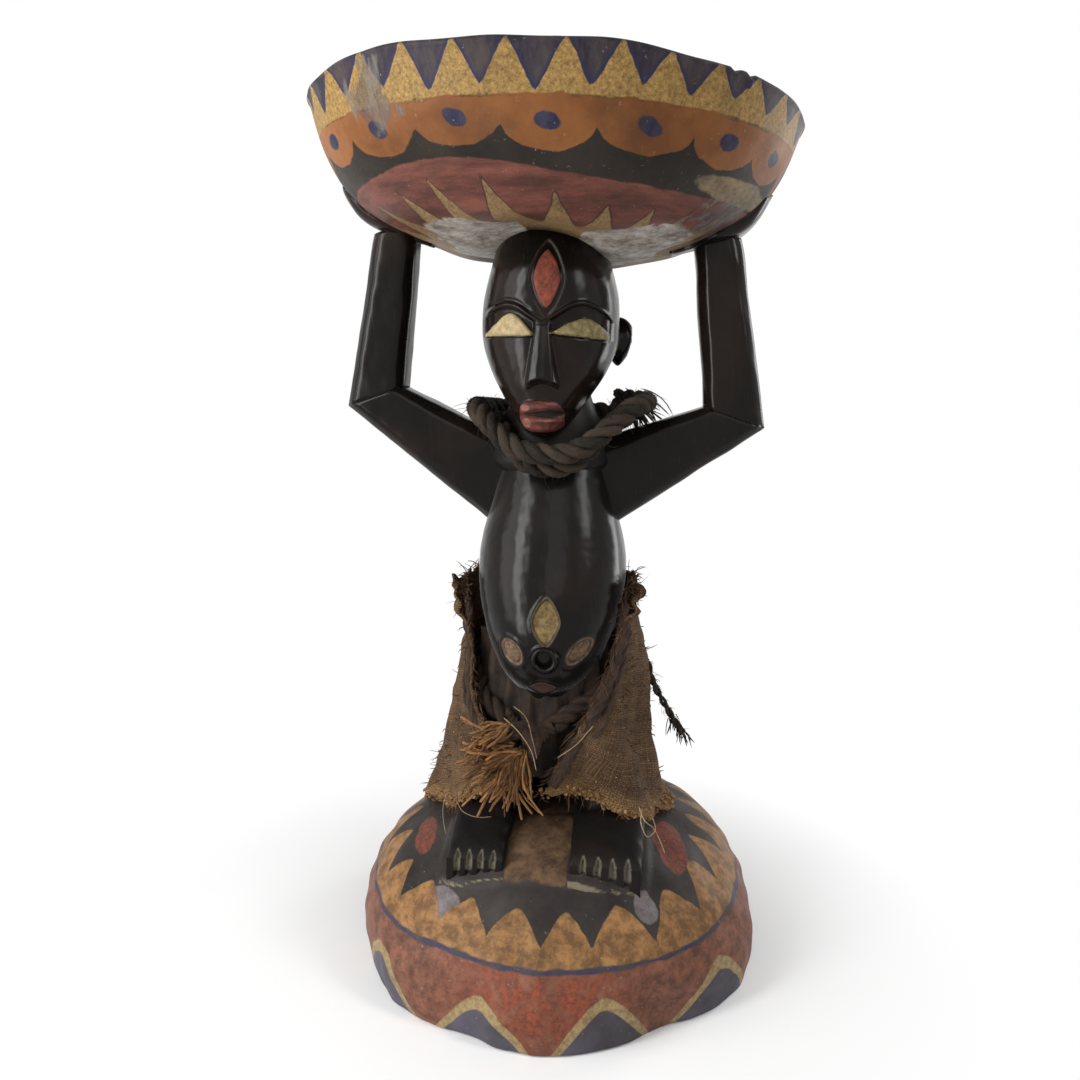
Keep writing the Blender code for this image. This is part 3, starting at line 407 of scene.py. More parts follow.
BLACK_WOOD = (0.0048, 0.0039, 0.0033)
BROWN_WOOD = (0.024, 0.012, 0.008)
DUSTY_WOOD = (0.125, 0.110, 0.082)
WOOD_SPECULAR = 0.13  # dark wood rubbed with oil
PAINT_SPECULAR = 0.08
BELLY_SHEEN, SHEEN_ROUGHNESS = 0.50, 0.25  # the pale edge that the rubbed belly has


def black_wood_nodes(f):
    """Colour, roughness and normal of blackened, hand-rubbed wood with faint upright grain."""
    grain = f.noise(60.0, 6.0, 0.65, f.stretched((9.0, 9.0, 1.0)))
    broad = f.noise(14.0, 3.0, 0.5)
    rubbed = f.span(broad, 0.50, 0.72)
    colour = f.mix(f.math("MULTIPLY", rubbed, 0.50), BLACK_WOOD, BROWN_WOOD)
    colour = f.mix(f.span(grain, 0.55, 0.8, 0.0, 0.40), colour, BROWN_WOOD)
    smears = f.noise(30.0, 4.0, 0.65, f.stretched((1.0, 1.0, 0.35)))
    roughness = f.span(smears, 0.3, 0.75, 0.15, 0.27)
    normal = f.raised(grain, 0.12, 0.0004)
    return colour, roughness, normal


def make_black_wood(name, matt):
    """Black wood that is less polished where matt is more than nothing."""
    f = Finish(name)
    colour, roughness, normal = black_wood_nodes(f)
    dust = f.math("MULTIPLY", f.field("dust"), f.span(f.noise(500.0), 0.25, 0.48))
    colour = f.mix(dust, colour, DUSTY_WOOD)
    roughness = f.math("ADD", roughness, matt)
    return f.done(colour, roughness, normal, Specular_IOR_Level=WOOD_SPECULAR)


def painted_marks(f, marks, soft, wood):
    """Black wood's colour, roughness and normal with painted marks, each a field's name and its colour."""
    colour, roughness, normal = wood
    speckle = f.noise(240.0, 8.0, 0.82)
    wobble = f.math("MULTIPLY", f.math("SUBTRACT", f.noise(160.0), 0.5), 0.9)
    paint = 0.0
    for name, light, dark in marks:
        share = f.inside(name, wobble, soft)
        colour = f.mix(share, colour, hue(f, speckle, 0.38, 0.58, light, dark))
        paint = f.math("MAXIMUM", paint, share)
    roughness = f.math("MAXIMUM", roughness, f.math("MULTIPLY", paint, 0.55))
    normal = f.raised(f.math("MULTIPLY", speckle, paint), 0.4, 0.0006, normal)
    return f.done(colour, roughness, normal, Specular_IOR_Level=WOOD_SPECULAR)


def make_face_wood():
    """Black wood with painted eyes, lips and forehead mark, and painted highlights on the lips and round the
    mark's recess.
    """
    f = Finish("face_wood")
    marks = [
        # A brown line round the forehead mark's recess: a painted highlight on its lit edge.
        ("rim", (0.046, 0.030, 0.020), (0.018, 0.013, 0.010)),
        ("lozenge", (0.225, 0.051, 0.030), (0.075, 0.024, 0.017)),
        ("eye", (0.400, 0.315, 0.175), (0.230, 0.170, 0.085)),
        ("olive_eye", (0.270, 0.215, 0.098), (0.100, 0.078, 0.036)),
        ("lip", (0.135, 0.038, 0.028), (0.046, 0.019, 0.015)),
        # Pale pink on the lips' left ends and upper edges: painted highlights.
        ("lip_highlight", (0.240, 0.105, 0.082), (0.130, 0.056, 0.044)),
        ("mouth", (0.012, 0.011, 0.007), (0.007, 0.006, 0.004)),
    ]
    return painted_marks(f, marks, 0.22, black_wood_nodes(f))


def make_belly_wood():
    """Black wood with the belly's painted marks."""
    f = Finish("belly_wood")
    marks = [
        ("gold_edge", (0.110, 0.078, 0.034), (0.045, 0.031, 0.016)),
        ("gold", (0.205, 0.145, 0.056), (0.070, 0.047, 0.021)),
        ("tan", (0.175, 0.108, 0.062), (0.062, 0.038, 0.023)),
        ("groove", (0.030, 0.022, 0.016), (0.014, 0.011, 0.009)),
        ("dull_red", (0.058, 0.026, 0.020), (0.026, 0.015, 0.012)),
    ]
    f.shader.inputs["Sheen Weight"].default_value = BELLY_SHEEN
    f.shader.inputs["Sheen Roughness"].default_value = SHEEN_ROUGHNESS
    return painted_marks(f, marks, 0.25, black_wood_nodes(f))


def paint_parts(f):
    """Noise shared by painted wood: fine speckle, broad patches and how far paint edges wander."""
    speckle = f.noise(330.0, 6.0, 0.72)
    broad = f.noise(24.0, 4.0, 0.6)
    wander = f.math("SUBTRACT", f.noise(85.0, 3.0, 0.55), 0.5)
    return speckle, broad, wander


def hue(f, by, low, high, light, dark):
    """A paint colour that varies between two tones."""
    return f.mix(f.span(by, low, high), light, dark)


def make_seat_paint():
    f = Finish("seat_paint")
    speckle, broad, wander = paint_parts(f)
    grain = f.noise(26.0, 6.0, 0.7, f.stretched((1.0, 1.0, 7.0)))
    streak = f.noise(95.0, 5.0, 0.7, f.stretched((1.0, 1.0, 0.22)))
    flakes = f.noise(520.0, 8.0, 0.85)
    wobble = f.math("MULTIPLY", wander, 4.0)
    colour = hue(f, broad, 0.35, 0.7, (0.028, 0.023, 0.019), (0.015, 0.013, 0.011))
    worn = hue(f, streak, 0.38, 0.62, (0.018, 0.016, 0.028), (0.054, 0.043, 0.042))
    worn_blue = f.mix(f.span(f.field("blue"), 0.8, 4.0), (0.022, 0.022, 0.050), worn)
    layers = [
        ("red", hue(f, grain, 0.36, 0.62, (0.165, 0.060, 0.044), (0.068, 0.029, 0.023)), 0.5),
        ("ray_edge", (0.040, 0.022, 0.016), 0.6),
        ("ray", hue(f, flakes, 0.40, 0.62, (0.260, 0.165, 0.078), (0.095, 0.060, 0.032)), 0.5),
        # dark brown in the middle of the seat's underside, over the head
        ("dark_middle", (0.018, 0.012, 0.009), 5.0),
        ("orange", hue(f, broad, 0.36, 0.66, (0.215, 0.086, 0.028), (0.120, 0.046, 0.017)), 0.35),
        ("yellow", hue(f, flakes, 0.38, 0.60, (0.350, 0.220, 0.075), (0.125, 0.074, 0.027)), 0.35),
        ("blue", worn_blue, 0.3),
        ("dot", hue(f, streak, 0.40, 0.62, (0.017, 0.017, 0.040), (0.038, 0.036, 0.055)), 0.35),
    ]
    for name, paint, soft in layers:
        colour = f.mix(f.inside(name, wobble, soft), colour, paint)
    lines = f.math("MULTIPLY", f.inside("seam", wobble, 0.3), f.span(speckle, 0.35, 0.6, 0.85, 0.25))
    colour = f.mix(lines, colour, (0.020, 0.013, 0.009))
    scuff_wobble = f.math("MULTIPLY", wander, 16.0)
    bare_grain = f.noise(95.0, 6.0, 0.75, f.stretched((1.0, 1.0, 2.5)))
    bare = hue(f, bare_grain, 0.38, 0.62, (0.42, 0.385, 0.34), (0.11, 0.092, 0.076))
    colour = f.mix(f.math("MULTIPLY", f.inside("bare", scuff_wobble, 0.9), 0.90), colour, bare)
    tan = hue(f, bare_grain, 0.38, 0.62, (0.240, 0.175, 0.098), (0.110, 0.080, 0.050))
    colour = f.mix(f.math("MULTIPLY", f.inside("tan_patch", wobble, 0.5), 0.85), colour, tan)
    ragged = f.math("ADD", scuff_wobble, f.span(streak, 0.35, 0.65, -7.0, 6.0))
    smear = f.inside("smear", ragged, 1.2)
    colour = f.mix(f.math("MULTIPLY", smear, 0.60), colour, (0.048, 0.045, 0.048))
    pale_streaks = f.math("MULTIPLY", smear, f.span(streak, 0.48, 0.66, 0.0, 0.70))
    colour = f.mix(pale_streaks, colour, (0.165, 0.150, 0.132))
    dish = hue(f, grain, 0.35, 0.65, (0.060, 0.036, 0.022), (0.022, 0.015, 0.011))
    colour = f.mix(f.inside("dish", wobble, 0.5), colour, dish)
    colour = f.mix(f.inside("edge", wobble, 0.5), colour, (0.014, 0.013, 0.017))
    grime = f.span(f.noise(38.0, 6.0, 0.7), 0.50, 0.78, 0.0, 0.60)
    colour = f.mix(grime, colour, (0.040, 0.028, 0.020))
    flecks = f.span(speckle, 0.64, 0.71, 0.0, 0.6)
    colour = f.mix(flecks, colour, (0.40, 0.32, 0.21))
    roughness = f.span(broad, 0.3, 0.7, 0.40, 0.56)
    normal = f.raised(grain, 0.25, 0.0008)
    normal = f.raised(speckle, 0.35, 0.0006, normal)
    return f.done(colour, roughness, normal, Specular_IOR_Level=PAINT_SPECULAR)


def make_base_paint():
    f = Finish("base_paint")
    speckle, broad, wander = paint_parts(f)
    wobble = f.math("MULTIPLY", wander, 3.2)
    mottle = f.noise(130.0, 5.0, 0.7)
    colour = hue(f, mottle, 0.38, 0.60, (0.275, 0.145, 0.058), (0.120, 0.064, 0.030))
    vermilion = hue(f, speckle, 0.36, 0.62, (0.310, 0.070, 0.032), (0.100, 0.040, 0.028))
    brick = hue(f, mottle, 0.36, 0.62, (0.200, 0.084, 0.053), (0.085, 0.042, 0.030))
    red = f.mix(f.math("MULTIPLY", f.field("bright"), f.span(mottle, 0.40, 0.56)), brick, vermilion)
    slate = hue(f, broad, 0.35, 0.65, (0.046, 0.039, 0.036), (0.020, 0.017, 0.016))
    straw = hue(f, speckle, 0.40, 0.66, (0.300, 0.220, 0.108), (0.150, 0.104, 0.054))
    blue_grey = hue(f, broad, 0.34, 0.66, (0.084, 0.078, 0.102), (0.050, 0.045, 0.050))
    lilac = hue(f, mottle, 0.36, 0.62, (0.165, 0.142, 0.145), (0.090, 0.077, 0.078))
    layers = [
        ("star", slate, 0.35),
        # Between the feet the tan ground is painted darker: painted shade under the figure.
        ("shaded_tan_gap", hue(f, mottle, 0.38, 0.64, (0.122, 0.074, 0.041), (0.046, 0.030, 0.020)), 0.6),
        ("lilac", lilac, 0.4),
        ("drop", hue(f, speckle, 0.36, 0.60, (0.205, 0.058, 0.038), (0.085, 0.036, 0.028)), 0.4),
        ("below", red, 0.4),
        ("border", straw, 0.5),
        ("lobe", blue_grey, 0.45),
        ("ring", hue(f, mottle, 0.36, 0.60, (0.032, 0.033, 0.066), (0.055, 0.046, 0.046)), 0.5),
    ]
    for name, paint, soft in layers:
        colour = f.mix(f.inside(name, wobble, soft), colour, paint)
    grime = f.span(f.noise(30.0, 6.0, 0.7), 0.52, 0.80, 0.0, 0.5)
    colour = f.mix(grime, colour, (0.050, 0.034, 0.024))
    flecks = f.span(speckle, 0.64, 0.72, 0.0, 0.55)
    colour = f.mix(flecks, colour, (0.45, 0.32, 0.20))
    colour = f.mix(f.inside("ledge", wobble, 0.25), colour, (0.150, 0.125, 0.085))
    roughness = f.span(broad, 0.3, 0.7, 0.42, 0.58)
    normal = f.raised(speckle, 0.35, 0.0006)
    normal = f.raised(mottle, 0.2, 0.0012, normal)
    return f.done(colour, roughness, normal, Specular_IOR_Level=PAINT_SPECULAR)


HAIRS_AROUND, HAIRS_ALONG = 9.0, 90.0  # how fine a strand's hairs are, round it and along each metre of it
FIBRE_SPECULAR, CLOTH_SPECULAR = 0.25, 0.15


def make_fibre(name, dark, light, roughness, fine=1.0):
    """Plant fibre: tones that differ from strand to strand and run along each strand."""
    f = Finish(name)
    uv = f.add("UVMap").outputs["UV"]
    around = f.add("SeparateXYZ", {"Vector": uv}).outputs["X"]
    across = f.math("MULTIPLY", around, HAIRS_AROUND * fine)
    along = f.math("MULTIPLY", f.field("along"), HAIRS_ALONG)
    lie = f.add("CombineXYZ", {"X": across, "Y": along}).outputs[0]
    hairs = f.noise(2.2, 5.0, 0.7, lie)
    patches = f.noise(90.0, 4.0, 0.6)
    tone = f.math("ADD", f.math("MULTIPLY", f.field("shade"), 0.40), f.math("MULTIPLY", hairs, 1.3))
    tone = f.math("ADD", tone, f.math("MULTIPLY", f.math("SUBTRACT", patches, 0.5), 0.8))
    colour = f.mix(f.span(tone, 0.50, 1.35), dark, light)
    normal = f.raised(hairs, 1.0, 0.0014)
    return f.done(colour, roughness, normal, Specular_IOR_Level=FIBRE_SPECULAR)


def make_cloth_weave(columns, rows):
    """Open weave of plant fibre: warp and weft threads that pass over and under, with painted shade in the
    gaps between them.
    """
    f = Finish("raffia_weave")
    uv = f.add("UVMap").outputs["UV"]
    split = f.add("SeparateXYZ", {"Vector": uv})
    drift = f.math("MULTIPLY", f.math("SUBTRACT", f.noise(60.0, 3.0, 0.6), 0.5), 3.0)
    across = f.math("ADD", f.math("MULTIPLY", split.outputs["X"], columns), drift)
    up = f.math("ADD", f.math("MULTIPLY", split.outputs["Y"], rows), drift)
    parity = f.math("MODULO", f.math("ADD", f.math("FLOOR", across), f.math("FLOOR", up)), 2.0)
    heights, tones = [], []
    for along, cross, on_top in ((across, up, parity), (up, across, f.math("SUBTRACT", 1.0, parity))):
        offset = f.math("SUBTRACT", f.math("FRACT", along), 0.5)
        aside = f.math("ABSOLUTE", f.math("MULTIPLY", offset, 2.0))
        body = f.math("SUBTRACT", 1.0, f.math("POWER", aside, 3.0))
        wave = f.math("ABSOLUTE", f.math("SINE", f.math("MULTIPLY", cross, math.pi)))
        lift = f.math("MULTIPLY", on_top, f.math("MULTIPLY", wave, 0.65))
        heights.append(f.math("MULTIPLY", body, f.math("ADD", 0.35, lift)))
        thread = f.math("FLOOR", along)
        tones.append(f.add("TexWhiteNoise", {"W": thread}, noise_dimensions="1D").outputs["Value"])
    height = f.math("MAXIMUM", *heights)
    first = f.math("GREATER_THAN", *heights)
    second = f.math("SUBTRACT", 1.0, first)
    tone = f.math("ADD", f.math("MULTIPLY", first, tones[0]), f.math("MULTIPLY", second, tones[1]))
    blotch = f.noise(32.0, 5.0, 0.65)
    fibres = f.noise(900.0, 3.0, 0.6)
    tone = f.math("ADD", f.math("MULTIPLY", tone, 0.20), f.math("MULTIPLY", blotch, 0.70))
    tone = f.math("ADD", tone, f.math("MULTIPLY", fibres, 0.35))
    colour = f.mix(f.span(tone, 0.42, 0.82), (0.036, 0.020, 0.012), (0.180, 0.105, 0.053))
    hem = f.math("MULTIPLY", f.field("hem"), f.span(fibres, 0.3, 0.6))
    colour = f.mix(hem, colour, (0.235, 0.135, 0.052))
    # Painted shade: darker where the weave lies low, in the gaps between threads.
    colour = f.mix(f.span(height, 0.10, 0.50, 0.85, 0.0), colour, (0.012, 0.008, 0.006))
    flecks = f.span(f.noise(520.0, 2.0, 0.5), 0.70, 0.76, 0.0, 0.7)
    colour = f.mix(flecks, colour, (0.42, 0.32, 0.19))
    normal = f.raised(height, 0.9, 0.0010)
    normal = f.raised(fibres, 0.4, 0.0005, normal)
    return f.done(colour, 0.88, normal, Specular_IOR_Level=CLOTH_SPECULAR)


# Painted fields on turned wood

def azimuth(points):
    """Degrees from the front towards the right."""
    return np.degrees(np.arctan2(points[:, 0], -points[:, 1]))


def full_turn(front, step, rng, jitter):
    """Marks all round: those chosen for the front, then even ones with some jitter round the back."""
    gap = front[0] + 360.0 - front[-1]
    count = max(1, round(gap / step))
    back = [front[-1] + gap * i / count + rng.uniform(-jitter, jitter) for i in range(1, count)]
    return np.array(list(front) + back + [front[0] + 360.0])


def between(angle, marks):
    """Which gap between marks an angle lies in, and its share of the way across."""
    angle = (angle - marks[0]) % 360.0 + marks[0]
    i = np.clip(np.searchsorted(marks, angle, side="right") - 1, 0, len(marks) - 2)
    return i, (angle - marks[i]) / (marks[i + 1] - marks[i])


def blots(angle, down, spots):
    """The deepest of several soft spots, each an angle and a distance with a half size of each."""
    best = np.full(len(angle), -99.0)
    for at, reach, half_angle, half_reach in spots:
        away = np.hypot(degrees_off(angle, at) / half_angle, (down - reach) / half_reach)
        best = np.maximum(best, (1 - away) * half_reach)
    return best


def seat_radius(share):
    return RIM_RADIUS * (1 - SEAT_TAPER * share) * np.maximum(0.0, 1 - share**SEAT_FULLNESS) ** SEAT_CORNER


WALL_SHARES = np.linspace(0.0, 1.0, 801)
WALL_RADII = seat_radius(WALL_SHARES)
WALL_STEPS = np.hypot(np.diff(WALL_RADII), np.diff(WALL_SHARES) * SEAT_DEPTH)
WALL_REACH = np.concatenate([[0.0], np.cumsum(WALL_STEPS)])  # distance below the rim, along the wall

# Yellow points at the rim, in degrees from the front
ZIGZAG_FRONT = [-48.0, -35.5, -24.0, -13.0, -2.5, 8.5, 18.8, 28.5, 39.5, 50.8, 62.2]
ZIGZAG_STEP = 11.0
ZIGZAG_DEPTH_MM = (13.0, 18.5)
ZIGZAG_FRONT_DEPTHS_MM = [16.0, 16.5, 19.5, 18.2, 20.4, 18.2, 15.6, 16.6, 14.0, 14.5]
SCALLOP_FRONT = [-64.5, -44.8, -23.8, -4.1, 15.8, 37.6, 58.1]
SCALLOP_STEP = 20.0
SCALLOP_CUSP_MM, SCALLOP_FOOT_MM = 30.5, 43.5
DOT_REACH_MM = 30.5
DOT_HALF_MM = (6.6, 4.0)
RED_TOP = [
    (-180, 54), (-60, 57), (-41, 52.5), (-25, 48), (-9, 48.5),
    (4, 53), (18, 56), (35, 58), (60, 58), (180, 54),
]
RAY_FRONT = [-57.0, -37.0, -22.5, -8.8, 10.2, 25.6, 40.0, 54.0]
RAY_TIPS_MM = [68.0, 64.0, 57.0, 58.0, 66.0, 73.0, 72.0, 68.0]
RAY_BACK_TIPS_MM = (58.0, 72.0)
RAY_STEP = 16.0
RAY_ROOT_MM = 92.0
RAY_HALF = 5.0
RAY_LEAN = 0.08  # degrees towards the left for each millimetre up from the root
BARE_SPOTS = [
    (-35, 130, 25, 43), (53, 123, 27, 42), (-66, 141, 20, 26), (84, 138, 22, 27),
    (150, 104, 24, 18), (-120, 100, 20, 14),
]
TAN_SPOTS = [(63, 51, 19, 7), (128, 52, 9, 7)]
SMEAR_SPOTS = [(67, 70, 14, 13), (-34, 19, 6, 13), (170, 30, 9, 14), (-140, 24, 7, 12)]
FRONT_RISE = 0.0050  # the rim stands higher at the front than at the sides
FRONT_RISE_HALF_ANGLE = 88.0
FRONT_RISE_REACH_MM = 24.0
# Degrees round, half width and depth
RIM_CHIPS = [(44.0, 1.6, 0.0034), (48.5, 1.3, 0.0040), (-116.0, 2.6, 0.0026), (150.0, 1.8, 0.0028)]
CHIP_REACH_MM = 8.0
# the middle of the seat's underside, over the head, is painted darker out to this radius
DARK_MIDDLE_RADIUS = 0.049
UNDERSIDE_MM = 60.0  # how far below the rim the seat's wall turns under
YELLOW_FOOT_MM, YELLOW_SLANT = 20.5, 0.035  # the slant is for each degree
DISH_EDGE_MM = 7.0  # how far in from the rim the dish's own colour starts


def seat_fields(angle, down, radius):
    """The seat's painted marks at an angle, a distance below the rim in millimetres and a radius."""
    rng = np.random.default_rng(11)
    zigzag = full_turn(ZIGZAG_FRONT, ZIGZAG_STEP, rng, 1.0)
    depths = rng.uniform(*ZIGZAG_DEPTH_MM, len(zigzag))
    depths[: len(ZIGZAG_FRONT_DEPTHS_MM)] = ZIGZAG_FRONT_DEPTHS_MM
    i, share = between(angle, zigzag)
    blue = depths[i] * (1 - np.abs(2 * share - 1) ** 1.25) - 0.7 - down
    yellow = YELLOW_FOOT_MM - YELLOW_SLANT * angle * np.cos(np.radians(angle / 2)) - down
    scallops = full_turn(SCALLOP_FRONT, SCALLOP_STEP, rng, 1.2)
    feet = rng.uniform(-1.5, 1.5, len(scallops))
    i, share = between(angle, scallops)
    lobe = np.sqrt(np.maximum(0.0, 1 - (2 * share - 1) ** 2))
    orange = SCALLOP_CUSP_MM + (SCALLOP_FOOT_MM + feet[i] - SCALLOP_CUSP_MM) * lobe - down
    spread = np.radians(scallops[i + 1] - scallops[i]) * RIM_RADIUS * MM * 0.94
    tilt = rng.uniform(-0.35, 0.15, len(scallops))[i]
    off_x = (share - 0.5) * spread
    off_y = down - DOT_REACH_MM - feet[i] + tilt * off_x
    dot = (1 - np.hypot(off_x / DOT_HALF_MM[0], off_y / DOT_HALF_MM[1])) * DOT_HALF_MM[1]
    red = down - outline(RED_TOP, angle)
    rays = full_turn(RAY_FRONT, RAY_STEP, rng, 2.5)
    tips = np.array(RAY_TIPS_MM + list(rng.uniform(*RAY_BACK_TIPS_MM, len(rays) - len(RAY_TIPS_MM))))
    i, share = between(angle, rays - RAY_STEP / 2)
    lean = (down - RAY_ROOT_MM) * RAY_LEAN
    off = np.abs((share - 0.5) * RAY_STEP - lean) / RAY_HALF
    ray = (down - tips[i] - (RAY_ROOT_MM - tips[i]) * off**0.85) * 0.5
    fields = {"blue": blue, "yellow": yellow, "orange": orange, "dot": dot, "red": red, "ray": ray}
    fields["ray_edge"] = ray + 1.2
    fields["seam"] = 0.30 - np.abs(yellow + 0.3)
    fields["bare"] = blots(angle, down, BARE_SPOTS)
    fields["tan_patch"] = blots(angle, down, TAN_SPOTS)
    fields["smear"] = blots(angle, down, SMEAR_SPOTS)
    # Darker in the middle of the underside, over the head.
    fields["dark_middle"] = np.where(down > UNDERSIDE_MM, (DARK_MIDDLE_RADIUS - radius) * MM, OUTSIDE_MM)
    fields["dish"] = -DISH_EDGE_MM - down
    fields["edge"] = 0.9 - np.abs(down + 1.2) * 0.45
    return fields


def lean_with_seat(points):
    c, s = math.cos(SEAT_LEAN), math.sin(SEAT_LEAN)
    x, z = points[:, 0], points[:, 2] - RIM
    return np.stack([c * x + s * z, points[:, 1], RIM - s * x + c * z], axis=1)


def dish_depth(radius):
    share = np.clip((radius - DISH_FLOOR_RADIUS) / (RIM_RADIUS - RIM_WIDTH - DISH_FLOOR_RADIUS), 0.0, 1.0)
    return DISH_DEPTH * np.sqrt(1 - share**2)


HEAD_HOLLOW = 0.0105  # how far the seat's underside is cut away in front of the head's crown
HEAD_HOLLOW_HALF_ANGLE = 62.0
HEAD_HOLLOW_REACH = (0.050, 0.090)
SEAT_COLUMNS, DISH_FLOOR_RINGS, DISH_RINGS, ROUND_RINGS, WALL_RINGS = 460, 8, 26, 5, 110
NEAR_RIM_MM = 9.0
RIM_WEAR = 0.0008
SEAT_SWELL_MOST = 1.004


def make_seat():
    line = [(DISH_FLOOR_RADIUS * i / DISH_FLOOR_RINGS, RIM - DISH_DEPTH) for i in range(DISH_FLOOR_RINGS)]
    for radius in np.linspace(DISH_FLOOR_RADIUS, RIM_RADIUS - RIM_WIDTH, DISH_RINGS):
        line.append((radius, RIM - float(dish_depth(radius))))
    line.append((RIM_RADIUS - 2 * RIM_ROUND, RIM))
    for i in range(ROUND_RINGS + 1):
        turn = math.pi / 2 * i / ROUND_RINGS
        line.append((RIM_RADIUS - RIM_ROUND * (1 - math.sin(turn)), RIM - RIM_ROUND * (1 - math.cos(turn))))
    first = math.asin(1.6 * RIM_ROUND / SEAT_DEPTH)
    for i in range(WALL_RINGS + 1):
        share = math.sin(first + (math.pi / 2 - first) * i / WALL_RINGS)
        line.append((float(seat_radius(np.float64(share))), RIM - SEAT_DEPTH * share))

    def place(points):
        angle = azimuth(points)
        flat = np.hypot(points[:, 0], points[:, 1])
        top = RIM - points[:, 2]
        wall = np.interp(np.clip(top / SEAT_DEPTH, 0, 1), WALL_SHARES, WALL_REACH)
        on_top = (flat < RIM_RADIUS - RIM_ROUND) & (top < dish_depth(flat) + 0.0008)
        down = np.where(on_top, flat - RIM_RADIUS, wall) * MM
        fields = seat_fields(angle, down, flat)
        near_rim = bump(down / NEAR_RIM_MM)
        moved = points.copy()
        swell = 1 + ripples(points, (0.006, 0.16), (0.0010, 0.020), 3)
        moved[:, :2] *= np.minimum(swell, SEAT_SWELL_MOST)[:, None]
        moved[:, 2] += near_rim * RIM_WEAR * (wavy(points, 0.06, 5) - 1)
        moved[:, 2] += FRONT_RISE * bump(angle / FRONT_RISE_HALF_ANGLE) * bump(down / FRONT_RISE_REACH_MM)
        moved[:, 2] += 0.0010 * smoothstep(UNDERSIDE_MM, 100.0, down) * wavy(points, 0.03, 6)
        hollow = bump(angle / HEAD_HOLLOW_HALF_ANGLE) * (1 - smoothstep(*HEAD_HOLLOW_REACH, flat))
        moved[:, 2] += HEAD_HOLLOW * hollow * (down > UNDERSIDE_MM)
        ragged = 1 + 0.35 * wavy(points, 0.007, 7)
        near_edge = np.clip(1 - np.abs(down) / CHIP_REACH_MM, 0, 1)
        for at, half, depth in RIM_CHIPS:
            moved[:, 2] -= depth * (bump(degrees_off(angle, at) / half) * near_edge * ragged)
        return lean_with_seat(moved), fields

    seat = grid(SEAT_COLUMNS, len(line) - 1)
    return piece("painted_seat", seat, make_seat_paint(), turned(line, place), ("seat_bowl",))


def dome_radius(z):
    bulge = np.sin(np.clip(z / BASE_BELLY_HEIGHT, 0, 1) * math.pi / 2)
    low = BASE_FOOT_RADIUS + (BASE_RADIUS - BASE_FOOT_RADIUS) * bulge
    share = np.clip((z - BASE_BELLY_HEIGHT) / (BASE_TOP - BASE_BELLY_HEIGHT), 0, 1)
    return np.where(z < BASE_BELLY_HEIGHT, low, BASE_RADIUS * (1 - share**2) ** (1 / 3))


def dome_height(x, y):
    share = np.minimum(1.0, np.hypot(x - BASE_OFFSET, y) / BASE_RADIUS)
    return BASE_BELLY_HEIGHT + (BASE_TOP - BASE_BELLY_HEIGHT) * np.sqrt(1 - share**3)


STAR_FRONT = [-59.5, -46.5, -30.5, -14.6, 1.5, 15.8, 34.0, 52.4, 68.5, 82.3]  # dark points of the star
STAR_STEP = 16.0
STAR_TIPS = [(-180, 110), (-61, 111), (-16, 113), (2, 113.5), (34, 114.5), (53, 111), (83, 106), (180, 110)]
STAR_NOTCHES = [
    (-180, 88), (-85, 85), (-60, 95), (-50, 99), (0, 100.5),
    (42, 98), (58, 95), (70, 88), (88, 81), (180, 88),
]
LOBE_FRONT = [-66.0, -29.0, 2.0, 35.0, 73.0]  # red tongues between the blue lobes
LOBE_STEP = 34.0
LOBE_TOPS_MM = [26.5, 21.0, 24.5, 27.5]  # of the front lobes
LOBE_BACK_TOPS_MM = (25.0, 32.0)
LOBE_FOOT = 0.39  # share of a lobe's rise that lies below the floor, which leaves the tongues their width
BORDER_MM = 7.2
RING_MM = 1.35
RING_FRONT_MM, RING_RISE_MM = 45.0, 9.975  # height at the front, and how much higher at the sides
BRIGHT_RED = (2.0, 34.0, 30.0, 40.0)  # degrees round and half width, height in millimetres and half height
BASE_COLUMNS, DOME_RINGS, SIDE_RINGS = 420, 100, 16
BASE_FOOT_ROUND = 0.0015
LILAC_SPOTS = [(-32, 107, 6.0, 7.0), (34, 103, 3.6, 5.5)]
DROPS_MM = [(-74.0, -42.0, 6.0, 16.0, 0.154), (72.0, -39.0, 9.0, 20.0, 0.127)]  # place, half sizes and tilt
BASE_HOLLOWS = [  # degrees round, half width and how far out
    (36.0, 17.0, -0.0050), (-3.0, 20.0, 0.0030), (70.0, 20.0, 0.0015),
    (-36.0, 20.0, 0.0040), (-78.0, 34.0, -0.0034),
]
PLATE_FRONT, PLATE_LEFT, PLATE_RIGHT, PLATE_BACK = -0.0862, -0.052, 0.066, -0.030
PLATE_MIDDLE, PLATE_STRAIGHT = 0.007, 0.045
PLATE_RISE = 0.0022
PLATE_BOW = 0.003  # how far the ledge's front edge bows forward in the middle
PLATE_SWEEP = 0.35  # how steeply its ends sweep back
GAP_LEFT, GAP_RIGHT = -0.0135, 0.0215  # tan ground between the feet, painted darker than the tan elsewhere as painted shade under the figure


def plate_depth(x, y):
    """How far a place lies behind the front edge of the ledge that the feet stand on."""
    aside = np.abs(x - PLATE_MIDDLE) / PLATE_STRAIGHT
    bow = PLATE_BOW * np.maximum(0.0, 1 - aside**2)
    sweep = PLATE_SWEEP * PLATE_STRAIGHT * np.maximum(0.0, aside - 1)
    return y - PLATE_FRONT + bow - sweep


